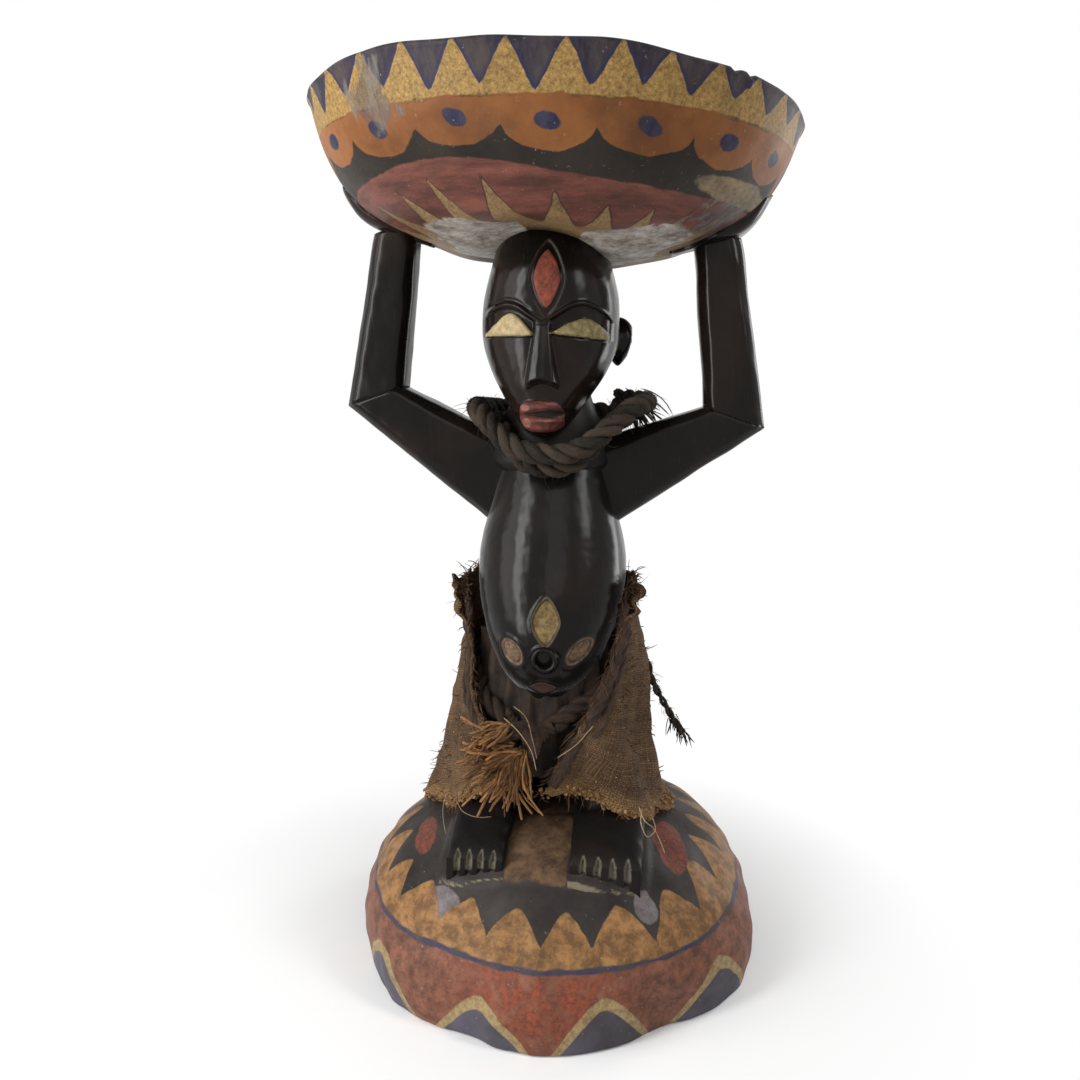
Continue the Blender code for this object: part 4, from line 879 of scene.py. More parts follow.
def base_fields(angle, radius, height, x, y):
    """The base's painted marks, in millimetres, from the angle, radius and height about its own axis."""
    rng = np.random.default_rng(23)
    level = RING_FRONT_MM + RING_RISE_MM * (1 - np.cos(np.radians(np.minimum(np.abs(angle), 90.0))))
    fields = {"ring": RING_MM - np.abs(height - level), "below": level - height}
    star = full_turn(STAR_FRONT, STAR_STEP, rng, 1.5)
    uneven = rng.uniform(-1.5, 1.5, len(star))
    i, share = between(angle, star)
    notch = outline(STAR_NOTCHES, angle) + uneven[i]
    edge = notch + (outline(STAR_TIPS, angle) - notch) * np.abs(2 * share - 1) ** 1.5
    fields["star"] = np.where(height > level, edge - radius, OUTSIDE_MM)
    fields["lilac"] = np.minimum(blots(angle, radius, LILAC_SPOTS), fields["star"])
    turn = np.radians(angle)
    plan = (radius * np.sin(turn), -radius * np.cos(turn))
    drops = np.maximum(*[lozenge(*plan, *drop, 2.0) for drop in DROPS_MM])
    fields["drop"] = np.where(height > level, drops, OUTSIDE_MM)
    behind = plate_depth(x, y)
    gap = np.minimum(x - GAP_LEFT, GAP_RIGHT - x)
    # The tan ground between the feet, coloured darker as painted shade under the figure.
    fields["shaded_tan_gap"] = np.where(y < 0, np.minimum(gap, behind) * MM, OUTSIDE_MM)
    before_feet = (x > PLATE_LEFT) & (x < PLATE_RIGHT) & ((x < GAP_LEFT) | (x > GAP_RIGHT)) & (y < 0)
    fields["ledge"] = np.where(before_feet, 0.50 - np.abs(behind * MM - 0.3), OUTSIDE_MM)
    lobes = full_turn(LOBE_FRONT, LOBE_STEP, rng, 2.0)
    tops = np.array(LOBE_TOPS_MM + list(rng.uniform(*LOBE_BACK_TOPS_MM, len(lobes) - len(LOBE_TOPS_MM))))
    i, share = between(angle, lobes)
    bow = 1 - np.abs(2 * share - 1) ** 1.5
    fields["lobe"] = tops[i] * (bow - LOBE_FOOT) / (1 - LOBE_FOOT) - height
    fields["border"] = fields["lobe"] + BORDER_MM
    at, half, up, half_height = BRIGHT_RED
    fields["bright"] = bump((angle - at) / half) * bump((height - up) / half_height)
    return fields


def make_base():
    rise = BASE_TOP - BASE_BELLY_HEIGHT
    heights = [BASE_TOP - rise * (1 - math.cos(math.pi / 2 * i / DOME_RINGS)) for i in range(DOME_RINGS + 1)]
    heights += list(np.linspace(BASE_BELLY_HEIGHT, BASE_FOOT_ROUND, SIDE_RINGS))[1:]
    line = [(float(dome_radius(np.float64(z))), z) for z in heights]
    line += [(BASE_FOOT_RADIUS - BASE_FOOT_ROUND, 0.0), (BASE_FOOT_RADIUS * 0.6, 0.0), (0.0, 0.0)]

    def place(points):
        angle = azimuth(points)
        flat = np.hypot(points[:, 0], points[:, 1])
        moved = points.copy()
        moved[:, 0] += BASE_OFFSET
        fields = base_fields(angle, flat * MM, points[:, 2] * MM, moved[:, 0], moved[:, 1])
        low = 1 - smoothstep(0.012, 0.060, points[:, 2])
        swell = ripples(points, (0.0022, 0.12), (0.0006, 0.022), 31)
        for at, half, out in BASE_HOLLOWS:
            swell = swell + out * bump(degrees_off(angle, at) / half) * low
        swell *= smoothstep(0.0, 0.05, flat)
        moved[:, :2] += points[:, :2] / np.maximum(flat, 1e-4)[:, None] * swell[:, None]
        x, y = moved[:, 0], moved[:, 1]
        raised = smoothstep(-0.0007, 0.0007, plate_depth(x, y))
        raised *= smoothstep(-0.003, 0.0, x - PLATE_LEFT) * smoothstep(-0.003, 0.0, PLATE_RIGHT - x)
        raised *= 1 - smoothstep(PLATE_BACK - 0.01, PLATE_BACK, y)
        top = smoothstep(0.055, 0.066, points[:, 2])
        moved[:, 2] += raised * top * PLATE_RISE + 0.0007 * wavy(points, 0.03, 33) * top
        return moved, fields

    base = grid(BASE_COLUMNS, len(line) - 1)
    return piece("painted_base", base, make_base_paint(), turned(line, place), ("base",))


# Carved figure

def egg(unit, bottom, height, half_width, front, back, outlines, squareness):
    """A unit ball's points drawn to outlines of width and depth, and how far each faces the front."""
    share = np.clip((unit[:, 2] + 1) / 2, 0.0, 1.0)
    flat = np.hypot(unit[:, 0], unit[:, 1])
    pole = flat < 1e-5
    across = np.where(pole, 1.0, unit[:, 0] / np.maximum(flat, 1e-5))
    along = np.where(pole, 0.0, unit[:, 1] / np.maximum(flat, 1e-5))
    full = (np.abs(across) ** squareness + np.abs(along) ** squareness) ** (-1 / squareness)
    wide = outline(outlines[0], share)
    reach = np.where(along < 0, front * outline(outlines[1], share), back * wide)
    x = np.where(pole, 0.0, across * full * half_width * wide)
    y = along * full * reach
    return np.stack([x, y, bottom + height * share], axis=1), np.clip(-2 * along, 0.0, 1.0)


# Face: heights of the lids and brows across it, in millimetres
LID_LEFT = [
    (-35.2, 379.6), (-30.5, 383.3), (-26.0, 386.6), (-22.0, 389.8), (-18.6, 391.2),
    (-15.5, 390.6), (-12.8, 388.9), (-8.5, 384.7), (-4.9, 380.9),
]
LID_RIGHT = [
    (4.1, 380.6), (8.5, 382.8), (13.2, 385.4), (19.0, 387.6), (24.3, 388.5),
    (27.5, 387.3), (30.1, 385.2), (32.5, 382.6), (34.8, 379.6),
]
EYE_BOTTOM_LEFT_MM = 379.3
EYE_BOTTOM_RIGHT_MM, EYE_BOTTOM_FALL = 380.8, 0.088
BROW_LEFT = [
    (-44, 384), (-36, 389), (-26.5, 393.3), (-19.6, 395.0), (-12.8, 393.4), (-7.2, 389.8), (0.5, 385.2),
]
BROW_RIGHT = [
    (0.5, 385.2), (5, 388.2), (9.7, 391.2), (16.6, 395.2),
    (21.6, 396.3), (27.5, 394.9), (33.3, 391.4), (40, 386.0),
]
SECOND_BROW_MM = 3.4  # how far the left brow's upper line lies above it
BROW_ENDS = [(-34.0, 0.0), (-27.0, 1.0), (34.0, 1.0), (40.0, 0.0)]  # how strong the brows are across the face
SOCKET_ENDS = [(-37.0, 0.0), (-31.0, 1.0), (35.0, 1.0), (39.0, 0.0)]
LOZENGE_MM = (2.6, 409.2, 7.3, 15.4)  # middle across and up, half width, half height
LOZENGE_RECESS_MM = 2.3
NOSE_MM = (0.6, 383.5, 355.5)  # middle, root and tip heights
LIPS_MM = (-0.8, 335.6, 12.7, 8.6)  # middle across and up, half width, half height
LIP_GAPS_MM = [(3.4, 337.2, 8.2, 1.9), (-5.5, 336.6, 6.0, 0.8)]
# Painted highlights on the lips' left ends and upper edges: middle across and up, half width, half height
LIP_HIGHLIGHTS_MM = [
    (-9.4, 340.2, 3.0, 1.9), (-8.8, 332.0, 3.0, 2.6), (6.5, 342.9, 5.0, 0.7), (5.5, 333.8, 6.0, 0.6),
]
SOCKET_DEPTH_MM = 3.4
EYE_PROUD_MM, EYE_LEAN_MM, EYE_TALL_MM = 4.2, 2.3, 12.0  # at the lower edge, how much less at the top, height
BROW_PROUD_MM, BROW_HALF_MM = 1.4, 1.0
# Height, half ridge, chamfer and side of the nose, each at the root and how much more at the tip
NOSE_SIZES_MM = [(2.4, 7.8), (0.5, 1.5), (3.0, 1.8), (0.8, 1.8)]
NOSE_CHAMFER_FALL = 0.26
LIP_PROUD_MM, LIP_FULL_MM, MOUTH_DEPTH_MM = 3.2, 0.7, 3.8
CHIN_MM, CHIN_PROUD_MM = (322.5, 5.0, 13.0), 2.4  # height, half height and half width
LOZENGE_PROUD_MM, LOZENGE_DEPTH_MM = 0.9, 1.5


def lozenge(x, z, middle, height, half_width, half_height, tilt=0.0, power=1.45):
    """Millimetres inside a pointed oval, negative outside."""
    c, s = math.cos(tilt), math.sin(tilt)
    u, v = c * (x - middle) + s * (z - height), -s * (x - middle) + c * (z - height)
    reach = (np.abs(u / half_width) ** power + np.abs(v / half_height) ** power) ** (1 / power)
    return (1 - reach) * min(half_width, half_height)


def ridge(value, half):
    return np.exp(-((value / half) ** 2))


def eye_marks(x, z):
    """The eyes' painted field, and how far the sockets, eyes and brows stand out."""
    left = x < 0
    brow_z = np.where(left, outline(BROW_LEFT, x), outline(BROW_RIGHT, x))
    bottom = np.where(left, EYE_BOTTOM_LEFT_MM, EYE_BOTTOM_RIGHT_MM - EYE_BOTTOM_FALL * x)
    lid = np.where(left, outline(LID_LEFT, x), outline(LID_RIGHT, x))
    first = np.where(left, LID_LEFT[0][0], LID_RIGHT[0][0])
    last = np.where(left, LID_LEFT[-1][0], LID_RIGHT[-1][0])
    ends = np.minimum(x - first, last - x)
    eye = np.minimum(np.minimum(z - bottom, (lid - z) * 0.75), ends)
    beside = smoothstep(2.0, 5.0, np.abs(x)) * np.interp(x, *zip(*SOCKET_ENDS))
    socket = smoothstep(-0.2, 1.3, brow_z - z) * smoothstep(-0.6, 0.3, z - bottom + 0.6) * beside
    rise = np.clip((z - bottom) / EYE_TALL_MM, 0.0, 1.0)
    relief = -SOCKET_DEPTH_MM * socket + (EYE_PROUD_MM - EYE_LEAN_MM * rise) * smoothstep(-0.15, 0.5, eye)
    relief += BROW_PROUD_MM * ridge(z - brow_z - 0.5, BROW_HALF_MM) * np.interp(x, *zip(*BROW_ENDS))
    relief -= ridge(z - brow_z - SECOND_BROW_MM, 0.8) * beside * smoothstep(3.0, 9.0, -x)
    return eye, relief


def nose_relief(x, z):
    """A long straight nose with a flat ridge, sloping planes beside it and steep sides."""
    middle, root, tip = NOSE_MM
    fall = np.clip((root - z) / (root - tip), 0.0, 1.0)
    high, flat, chamfer, side = (at_root + more * fall for at_root, more in NOSE_SIZES_MM)
    aside = np.abs(x - middle)
    roof = high - NOSE_CHAMFER_FALL * np.clip(aside - flat, 0.0, chamfer)
    steep = np.clip((flat + chamfer + side - aside) / side, 0.0, 1.0)
    under = smoothstep(-2.4, 1.2, z - tip + 0.05 * (x - middle) ** 2)
    return roof * steep * under * (1 - smoothstep(0.0, 4.0, z - root))


def face_marks(x, z):
    """Fields of the face's painted marks and how far its relief stands out, all in millimetres."""
    eye, relief = eye_marks(x, z)
    nose = nose_relief(x, z)
    relief = np.maximum(relief, nose) + np.minimum(0.0, relief) * (nose <= 0.0)
    lip = lozenge(x, z, *LIPS_MM, power=3.4)
    gap = np.maximum(*[lozenge(x, z, *spot, tilt=0.07, power=2.2) for spot in LIP_GAPS_MM])
    relief += LIP_PROUD_MM * smoothstep(-0.6, 2.2, lip) + LIP_FULL_MM * smoothstep(1.0, 4.0, lip)
    relief -= MOUTH_DEPTH_MM * smoothstep(-1.6, 0.8, gap)
    chin, chin_tall, chin_wide = CHIN_MM
    relief += CHIN_PROUD_MM * bump((z - chin) / chin_tall) * bump((x - LIPS_MM[0]) / chin_wide)
    mark = lozenge(x, z, *LOZENGE_MM)
    relief += LOZENGE_PROUD_MM * smoothstep(-0.6, 0.6, mark)
    relief -= LOZENGE_DEPTH_MM * smoothstep(-0.4, 0.4, mark + LOZENGE_RECESS_MM)
    # Painted highlights on the lips' left ends and upper edges.
    pale = np.full(len(x), OUTSIDE_MM)
    for spot in LIP_HIGHLIGHTS_MM:
        pale = np.maximum(pale, lozenge(x, z, *spot, power=2.0))
    paint = lip - 0.2
    fields = {"eye": eye, "lip": paint, "mouth": gap, "lozenge": mark - 0.1}
    fields["lip_highlight"] = np.minimum(pale, paint)
    fields["olive_eye"] = np.where(x > 0, eye, OUTSIDE_MM)
    # A line round the edge of the forehead mark's recess, which the face's finish paints as a highlight.
    fields["rim"] = 0.35 - np.abs(mark + LOZENGE_RECESS_MM)
    return fields, relief


def front_only(fields, unit):
    """Keeps painted marks off the back half of a carved piece."""
    return {key: np.where(unit[:, 1] < 0, values, OUTSIDE_MM) for key, values in fields.items()}


HEAD_SQUARENESS, TORSO_SQUARENESS = 2.25, 2.15  # 2 is an ellipse in plan
JAW_CUT = 0.35  # how far the head narrows behind the chin
JAW_ASIDE = 0.0014  # how far the chin lies towards the left of the picture


def make_head(finish):
    def place(unit):
        outlines = (HEAD_OUTLINE, HEAD_FRONT_OUTLINE)
        sizes = (HEAD_HALF_WIDTH, HEAD_FRONT, HEAD_BACK)
        points, front = egg(unit, CHIN, HEAD_HEIGHT, *sizes, outlines, HEAD_SQUARENESS)
        up = (points[:, 2] - CHIN) / HEAD_HEIGHT
        jaw = smoothstep(-0.3, 0.4, unit[:, 1]) * (1 - smoothstep(0.12, 0.45, up))
        points[:, :2] *= (1 - JAW_CUT * jaw)[:, None]
        points[:, 0] -= JAW_ASIDE * (1 - smoothstep(0.05, 0.42, up))
        fields, relief = face_marks(points[:, 0] * MM, points[:, 2] * MM)
        points[:, 1] -= relief / MM * smoothstep(0.02, 0.5, front)
        hewn = ripples(points, (0.00018, 0.024), (0.00004, 0.006), 41)
        points += unit * hewn[:, None]
        points[:, 1] -= HEAD_FORWARD
        return points, front_only(fields, unit)

    return piece("carved_head", grid(360, 270), finish, balled(place), ("head",))


EAR_HALF = (0.0105, 0.0070, 0.0145)
EAR_BACK = 0.016
EARS_OUT = {"left": 0.0335, "right": 0.0375}
EAR_UP = 0.0576  # above the chin
EAR_DISH = 0.0030
EAR_NARROWS = 0.55  # towards the lobe
EAR_SWEEP = 0.003


def make_ears(finish):
    """Flat rounded ears with a raised outer fold, on the head's sides."""
    for side, word in SIDES:

        def place(unit, side=side, word=word):
            points = unit * np.array(EAR_HALF)
            ring = np.hypot(unit[:, 1], unit[:, 2])
            dish = smoothstep(0.0, 0.6, side * unit[:, 0]) * (1 - smoothstep(0.30, 0.62, ring))
            points[:, 0] -= side * EAR_DISH * dish
            points[:, 0] *= 1 - EAR_NARROWS * np.maximum(0.0, -unit[:, 2])
            points[:, 1] += EAR_SWEEP * np.abs(unit[:, 2]) ** 2
            return points + np.array([side * EARS_OUT[word], EAR_BACK, CHIN + EAR_UP]), {}

        piece(f"{word}_ear", grid(48, 36), finish, balled(place))


BELLY_LOZENGE_MM = (4.6, 220.4, 7.6, 13.2)
BELLY_OVALS_MM = [(-15.4, 201.2, 6.0, 8.6, math.radians(32)), (23.2, 202.4, 5.6, 9.8, math.radians(-40))]
BELLY_SMALL_MM = (2.2, 179.4, 7.8, 4.8)
SMALL_RIM_MM, SMALL_DEPTH_MM = 0.5, 0.7  # how far the small mark's rim stands out and its floor lies in
MARK_RIM_MM, MARK_DEPTH_MM = 0.7, 1.1  # the same for the lozenge and the ovals
GROOVE_IN_MM, GROOVE_DEPTH_MM = 1.3, 0.5
NAVEL_SWELL_MM, NAVEL_RING_MM = 2.4, 0.7
NAVEL = (0.0042, 0.1995)
BELLY_SAG = 0.0042  # how far the carved belly hangs below the plain solid's
CARVED_TORSO_HEIGHT = TORSO_HEIGHT + BELLY_SAG + 0.009  # up into the turns of rope
BELLY_SHIFT = -0.0013
BELLY_WIDTH = 1.02


def make_torso(finish):
    def place(unit):
        outlines = (TORSO_OUTLINE, TORSO_FRONT_OUTLINE)
        bottom, height = BELLY_BOTTOM - BELLY_SAG, CARVED_TORSO_HEIGHT
        half_width = TORSO_HALF_WIDTH * BELLY_WIDTH
        sizes = (half_width, TORSO_FRONT, TORSO_BACK)
        points, front = egg(unit, bottom, height, *sizes, outlines, TORSO_SQUARENESS)
        points[:, 0] += TORSO_OFFSET + BELLY_SHIFT
        x, z = points[:, 0] * MM, points[:, 2] * MM
        gold = lozenge(x, z, *BELLY_LOZENGE_MM)
        ovals = np.maximum(*[lozenge(x, z, *spot, 1.9) for spot in BELLY_OVALS_MM])
        small = lozenge(x, z, *BELLY_SMALL_MM)
        midrib = ridge(x - BELLY_LOZENGE_MM[0] - 0.4, 0.5)
        relief = SMALL_RIM_MM * ridge(small + 0.6, 0.7) - SMALL_DEPTH_MM * smoothstep(-0.2, 0.7, small)
        for mark in (gold, ovals):
            relief += MARK_RIM_MM * ridge(mark + 1.2, 0.8) - MARK_DEPTH_MM * smoothstep(-0.2, 0.8, mark)
        relief -= GROOVE_DEPTH_MM * (ridge(ovals - GROOVE_IN_MM, 0.5) + midrib * smoothstep(0.0, 1.0, gold))
        away = np.hypot(x - NAVEL[0] * MM, z - NAVEL[1] * MM)
        relief += NAVEL_SWELL_MM * ridge(away, 8.5) - NAVEL_RING_MM * ridge(away - 9.5, 1.2)
        points[:, 1] -= relief / MM * smoothstep(0.02, 0.5, front)
        hewn = ripples(points, (0.00020, 0.034), (0.00004, 0.007), 51)
        points += unit * hewn[:, None]
        fields = {"gold_edge": gold + 0.9, "gold": gold - 0.6 - 0.9 * midrib, "tan": ovals, "dull_red": small}
        fields["groove"] = 0.3 - np.minimum(np.abs(ovals - GROOVE_IN_MM), np.abs(gold - 0.2))
        return points, front_only(fields, unit)

    return piece("carved_torso", grid(300, 230), finish, balled(place), ("torso",))


NECK_TOP, NECK_FOOT = 0.366, 0.308
NECK_THIN = NECK_RADIUS - 0.008  # the carved neck is thinner under the head than the plain post
NECK_FLARE, NECK_CURVE = 0.0245, 0.8
NECK_RINGS = 12
NECK_FOOT_ROUND = [(0.0012, 0.0022), (0.0040, 0.0052), (0.0090, 0.0082), (0.0170, 0.0100)]  # inwards and down
NECK_DEPTHS = {"back": 0.56, "front": 0.80}  # share of a round neck's depth


def make_neck(finish):
    """A neck that widens into the shoulders, with a rounded foot."""
    line = [(0.0, NECK_TOP)]
    for i in range(NECK_RINGS + 1):
        share = i / NECK_RINGS
        line.append((NECK_THIN + NECK_FLARE * share**NECK_CURVE, NECK_TOP + (NECK_FOOT - NECK_TOP) * share))
    line += [(NECK_THIN + NECK_FLARE - inwards, NECK_FOOT - down) for inwards, down in NECK_FOOT_ROUND]
    line += [(0.0, NECK_FOOT - NECK_FOOT_ROUND[-1][1])]

    def place(points):
        points[:, 1] *= np.where(points[:, 1] > 0, NECK_DEPTHS["back"], NECK_DEPTHS["front"])
        points[:, :2] += 0.0004 * wavy(points, 0.012, 53)[:, None]
        return points, {}

    return piece("neck_post", grid(64, len(line) - 1), finish, turned(line, place))


def make_navel(finish):
    """A short round tube that stands out of the belly, with a dark bore."""
    bore, outer, proud = 0.0048, 0.0074, 0.0038
    line = [(0.0, -0.014), (bore * 0.8, -0.014), (bore, -0.012)]
    line += [(bore, proud - 0.001), (bore + 0.0005, proud - 0.0003), (bore + 0.0011, proud)]
    line += [(outer - 0.0009, proud), (outer - 0.0002, proud - 0.0005), (outer, proud - 0.0014)]
    line += [(outer + 0.0004, 0.0004), (outer + 0.0018, -0.0018), (outer + 0.002, -0.014), (0.0, -0.0145)]
    share = np.array([(NAVEL[1] - BELLY_BOTTOM + BELLY_SAG) / CARVED_TORSO_HEIGHT])
    surface = TORSO_FRONT * float(outline(TORSO_FRONT_OUTLINE, share)[0])

    def place(points):
        points = points * (1 + 0.03 * wavy(points, 0.010, 54))[:, None]
        tipped = np.stack([points[:, 0], -points[:, 2], points[:, 1]], axis=1)
        return tipped + np.array([NAVEL[0], -surface - 0.0012, NAVEL[1]]), {}

    return piece("navel_tube", grid(56, len(line) - 1), finish, turned(line, place))


# Arms: each bar runs from the elbow's mitre, with four corners in the figure's plane
ELBOW_OUT, ELBOW_IN = 0.125, 0.089
ELBOW_RISES = {"left": 0.028, "right": 0.019}
ELBOW_SLANT = 0.012
SHOULDER_X, SHOULDER_TOP, SHOULDER_DROP = 0.028, 0.011, 0.048
SHOULDER_REACH = 0.014  # the upper arms run on past the shoulder line, into the chest
SHOULDER_DEPTH, ELBOW_DEPTH, WRIST_DEPTH = 0.038, 0.028, 0.026
WRIST_OUT, WRIST_IN = 0.096, 0.074
WRIST_SHARE = 0.62  # where a forearm ends, as a share of the way from the elbow to the rim
ARM_CHAMFER = 0.0062
CHAMFER_SOFT = 0.0014
MITRE_GAP = 0.0002


def carved_bar(name, corners, half_depths, back, finish, stands_for, seed):
    """A faceted bar with rubbed edges, from its corners, its ends' half depths and its lean to the back."""
    near_out, near_in, far_in, far_out = (np.array(c) for c in corners)

    def place(unit):
        a, b, c = (unit[:, 0] + 1) / 2, (unit[:, 1] + 1) / 2, unit[:, 2]
        low = near_out + (far_out - near_out) * a[:, None]
        high = near_in + (far_in - near_in) * a[:, None]
        half = np.linalg.norm(high - low, axis=1) / 2
        deep = half_depths[0] + (half_depths[1] - half_depths[0]) * a
        p, q = (2 * b - 1) * half, c * deep
        limit = half + deep - ARM_CHAMFER
        square = np.abs(p) + np.abs(q)
        over = CHAMFER_SOFT * np.logaddexp(0.0, (square - limit) / CHAMFER_SOFT)
        shrink = np.where(square > 1e-9, (square - over) / np.maximum(square, 1e-9), 1.0)
        rim = np.maximum(np.abs(2 * b - 1), np.abs(c))
        shrink = 1 - (1 - shrink) * rim
        p, q = p * shrink, q * shrink
        middle = (low + high) / 2
        way = (high - low) / (2 * half)[:, None]
        plan = middle + way * p[:, None]
        points = np.stack([plan[:, 0], q, plan[:, 1]], axis=1)
        hewn = ripples(points, (0.00028, 0.034), (0.00006, 0.009), seed)
        hewn *= 1 - bump(np.clip((1 - np.abs(unit[:, 0])) * 12, 0, 1)) * 0.8
        points[:, 1] += np.sign(q) * hewn * smoothstep(0.5, 0.9, np.abs(c))
        points[:, 1] += back * a
        sideways = hewn * np.sign(p) * smoothstep(0.5, 0.9, np.abs(2 * b - 1))
        points[:, 0] += way[:, 0] * sideways
        points[:, 2] += way[:, 1] * sideways
        return points, {}

    return piece(name, block(46), finish, place, stands_for)


SHOULDER_BACK = 0.0045  # how far the upper arms thin from the front towards the torso


def part_way(start, end, share):
    return tuple(a + (b - a) * share for a, b in zip(start, end))


def make_arms(finish):
    for side, word in SIDES:
        rise = ELBOW_RISES[word]
        outer = (side * ELBOW_OUT, CHEST_TOP + rise)
        inner = (side * ELBOW_IN, CHEST_TOP + rise + ELBOW_SLANT)
        top = (side * SHOULDER_X, CHEST_TOP + SHOULDER_TOP)
        low = (side * SHOULDER_X, CHEST_TOP - SHOULDER_DROP)
        top = part_way(inner, top, (ELBOW_IN - SHOULDER_REACH) / (ELBOW_IN - SHOULDER_X))
        low = part_way(outer, low, (ELBOW_OUT - SHOULDER_REACH) / (ELBOW_OUT - SHOULDER_X))
        depths = (ELBOW_DEPTH / 2, SHOULDER_DEPTH / 2 - SHOULDER_BACK)
        corners, stood_for = [outer, inner, top, low], (f"{word}_upper_arm",)
        carved_bar(f"carved_{word}_upper_arm", corners, depths, SHOULDER_BACK, finish, stood_for, 61 + side)
        outer, inner = (outer[0], outer[1] + MITRE_GAP), (inner[0], inner[1] + MITRE_GAP)
        wrist_in = part_way(inner, (side * WRIST_IN, RIM), WRIST_SHARE)
        wrist_out = part_way(outer, (side * WRIST_OUT, RIM), WRIST_SHARE)
        depths = (ELBOW_DEPTH / 2, WRIST_DEPTH / 2)
        corners, stood_for = [outer, inner, wrist_in, wrist_out], (f"{word}_forearm",)
        carved_bar(f"carved_{word}_forearm", corners, depths, 0.0, finish, stood_for, 71 + side)


HAND_THICKNESS = 0.0056
HAND_HEEL, HAND_TIP = 0.070, 0.124
HAND_FULLEST = 0.45  # share of the way from heel to fingertips
HAND_HALF_WIDTH, HAND_NARROWS = 0.022, 0.005
HAND_SUNK = 0.0015  # how far a hand's inner face lies in the seat's wall


def make_hands(finish):
    """Thin wedges that hug the seat's wall from heel to fingertips."""
    shares = np.interp([-HAND_HEEL, -HAND_TIP], -WALL_RADII, WALL_SHARES)
    for side, word in SIDES:

        def place(unit, side=side):
            a = (unit[:, 0] + 1) / 2
            share = shares[0] + (shares[1] - shares[0]) * a
            radius = seat_radius(share)
            step = 0.002
            run = seat_radius(np.minimum(share + step, 0.999)) - seat_radius(share - step)
            drop = -2 * step * SEAT_DEPTH
            long = np.hypot(run, drop)
            out_r, out_z = -drop / long, run / long
            tip = 1 - 0.9 * smoothstep(0.80, 1.0, a) ** 2
            heel = 0.25 + 0.75 * smoothstep(0.0, 0.35, a)
            half = (HAND_HALF_WIDTH - HAND_NARROWS * a) * tip * heel
            y = unit[:, 1] * half
            round_edge = 1 - 0.75 * np.abs(unit[:, 1]) ** 6
            full = 0.15 + 0.85 * bump((a - HAND_FULLEST) / np.where(a < HAND_FULLEST, 0.42, 0.58))
            lift = -HAND_SUNK + (unit[:, 2] + 1) / 2 * (HAND_THICKNESS * full * round_edge + HAND_SUNK)
            flat = np.sqrt(np.maximum(radius**2 - y**2, 1e-6)) + out_r * lift
            points = np.stack([side * flat, y, RIM - SEAT_DEPTH * share + out_z * lift], axis=1)
            points += (0.0002 * wavy(points, 0.012, 81))[:, None] * unit
            return lean_with_seat(points), {}

        piece(f"carved_{word}_hand", block(34), finish, place, (f"{word}_hand",))


FOOT_TIP, FOOT_HEEL = 0.083, 0.038
FOOT_TOE_THICKNESS, FOOT_INSTEP_THICKNESS = 0.013, 0.020
FEET = {"left": (-0.031, 0.034), "right": (0.043, 0.042)}  # middle and width
TOE_COUNT = 5
TOE_LENGTH = 0.0050
TOE_NOTCH = 0.0018  # half width at the front
TOE_NOTCH_DOWN, TOE_NOTCH_IN = 0.0024, 0.0020
FOOT_EDGE_ROUND = 0.0028
FOOT_SUNK = 0.004  # how far a foot goes down into the base


def foot_top(middle, back):
    """The height of a foot's top at a share of the way back from the toes."""
    toes = dome_height(middle, -FOOT_TIP) + FOOT_TOE_THICKNESS
    instep = dome_height(middle, -FOOT_HEEL) + FOOT_INSTEP_THICKNESS
    return toes + (instep - toes) * back


def make_feet(finish):
    """Blocks on the dome's slope, with notches between the toes."""
    for word, (middle, width) in FEET.items():

        def place(unit, middle=middle, width=width):
            a, b, c = unit[:, 0], (unit[:, 1] + 1) / 2, (unit[:, 2] + 1) / 2
            y = -FOOT_TIP + (FOOT_TIP - FOOT_HEEL) * b
            x = middle + a * width / 2 * (1 - 0.05 * (1 - b))
            edge = np.maximum(np.abs(a) ** 10, (1 - b) ** 14)
            top = foot_top(middle, b) - FOOT_EDGE_ROUND * edge
            floor = dome_height(x, y) - FOOT_SUNK
            z = floor + (top - floor) * c
            share = (x - middle) / width + 0.5
            toe = np.rint(np.clip(share * TOE_COUNT, 1, TOE_COUNT - 1))
            near = np.abs(share * TOE_COUNT - toe) * width / TOE_COUNT
            back = (y + FOOT_TIP) / TOE_LENGTH
            half = TOE_NOTCH * np.clip(1.05 - back, 0.0, 1.0)
            inside = np.clip((half - near) / TOE_NOTCH, -1.0, 1.0)
            notch = smoothstep(0.0, 0.5, inside)
            z = z - TOE_NOTCH_DOWN * notch * (1 - smoothstep(0.85, 1.05, back)) * c
            y = y + TOE_NOTCH_IN * notch * (1 - smoothstep(0.0, 0.2, b)) * smoothstep(0.2, 0.6, c)
            points = np.stack([x, y, z], axis=1)
            points += (0.00025 * wavy(points, 0.010, 91))[:, None]
            dust = smoothstep(-0.20, 0.20, inside) * (1 - smoothstep(0.8, 1.0, back))
            return points, {"dust": dust * smoothstep(0.55, 0.70, c)}

        piece(f"carved_{word}_foot", block(56), finish, place, (f"{word}_foot",))


HIPS_MIDDLE = (0.003, 0.0, 0.156)
HIPS_HALF = (0.044, 0.035, 0.027)
HIP_JOINT_X, HIP_JOINT_Z = 0.020, 0.151
LEG_RADII = [(0.0, 0.015), (0.25, 0.015), (0.6, 0.017), (1.0, 0.018)]
ANKLE_Y = -0.044


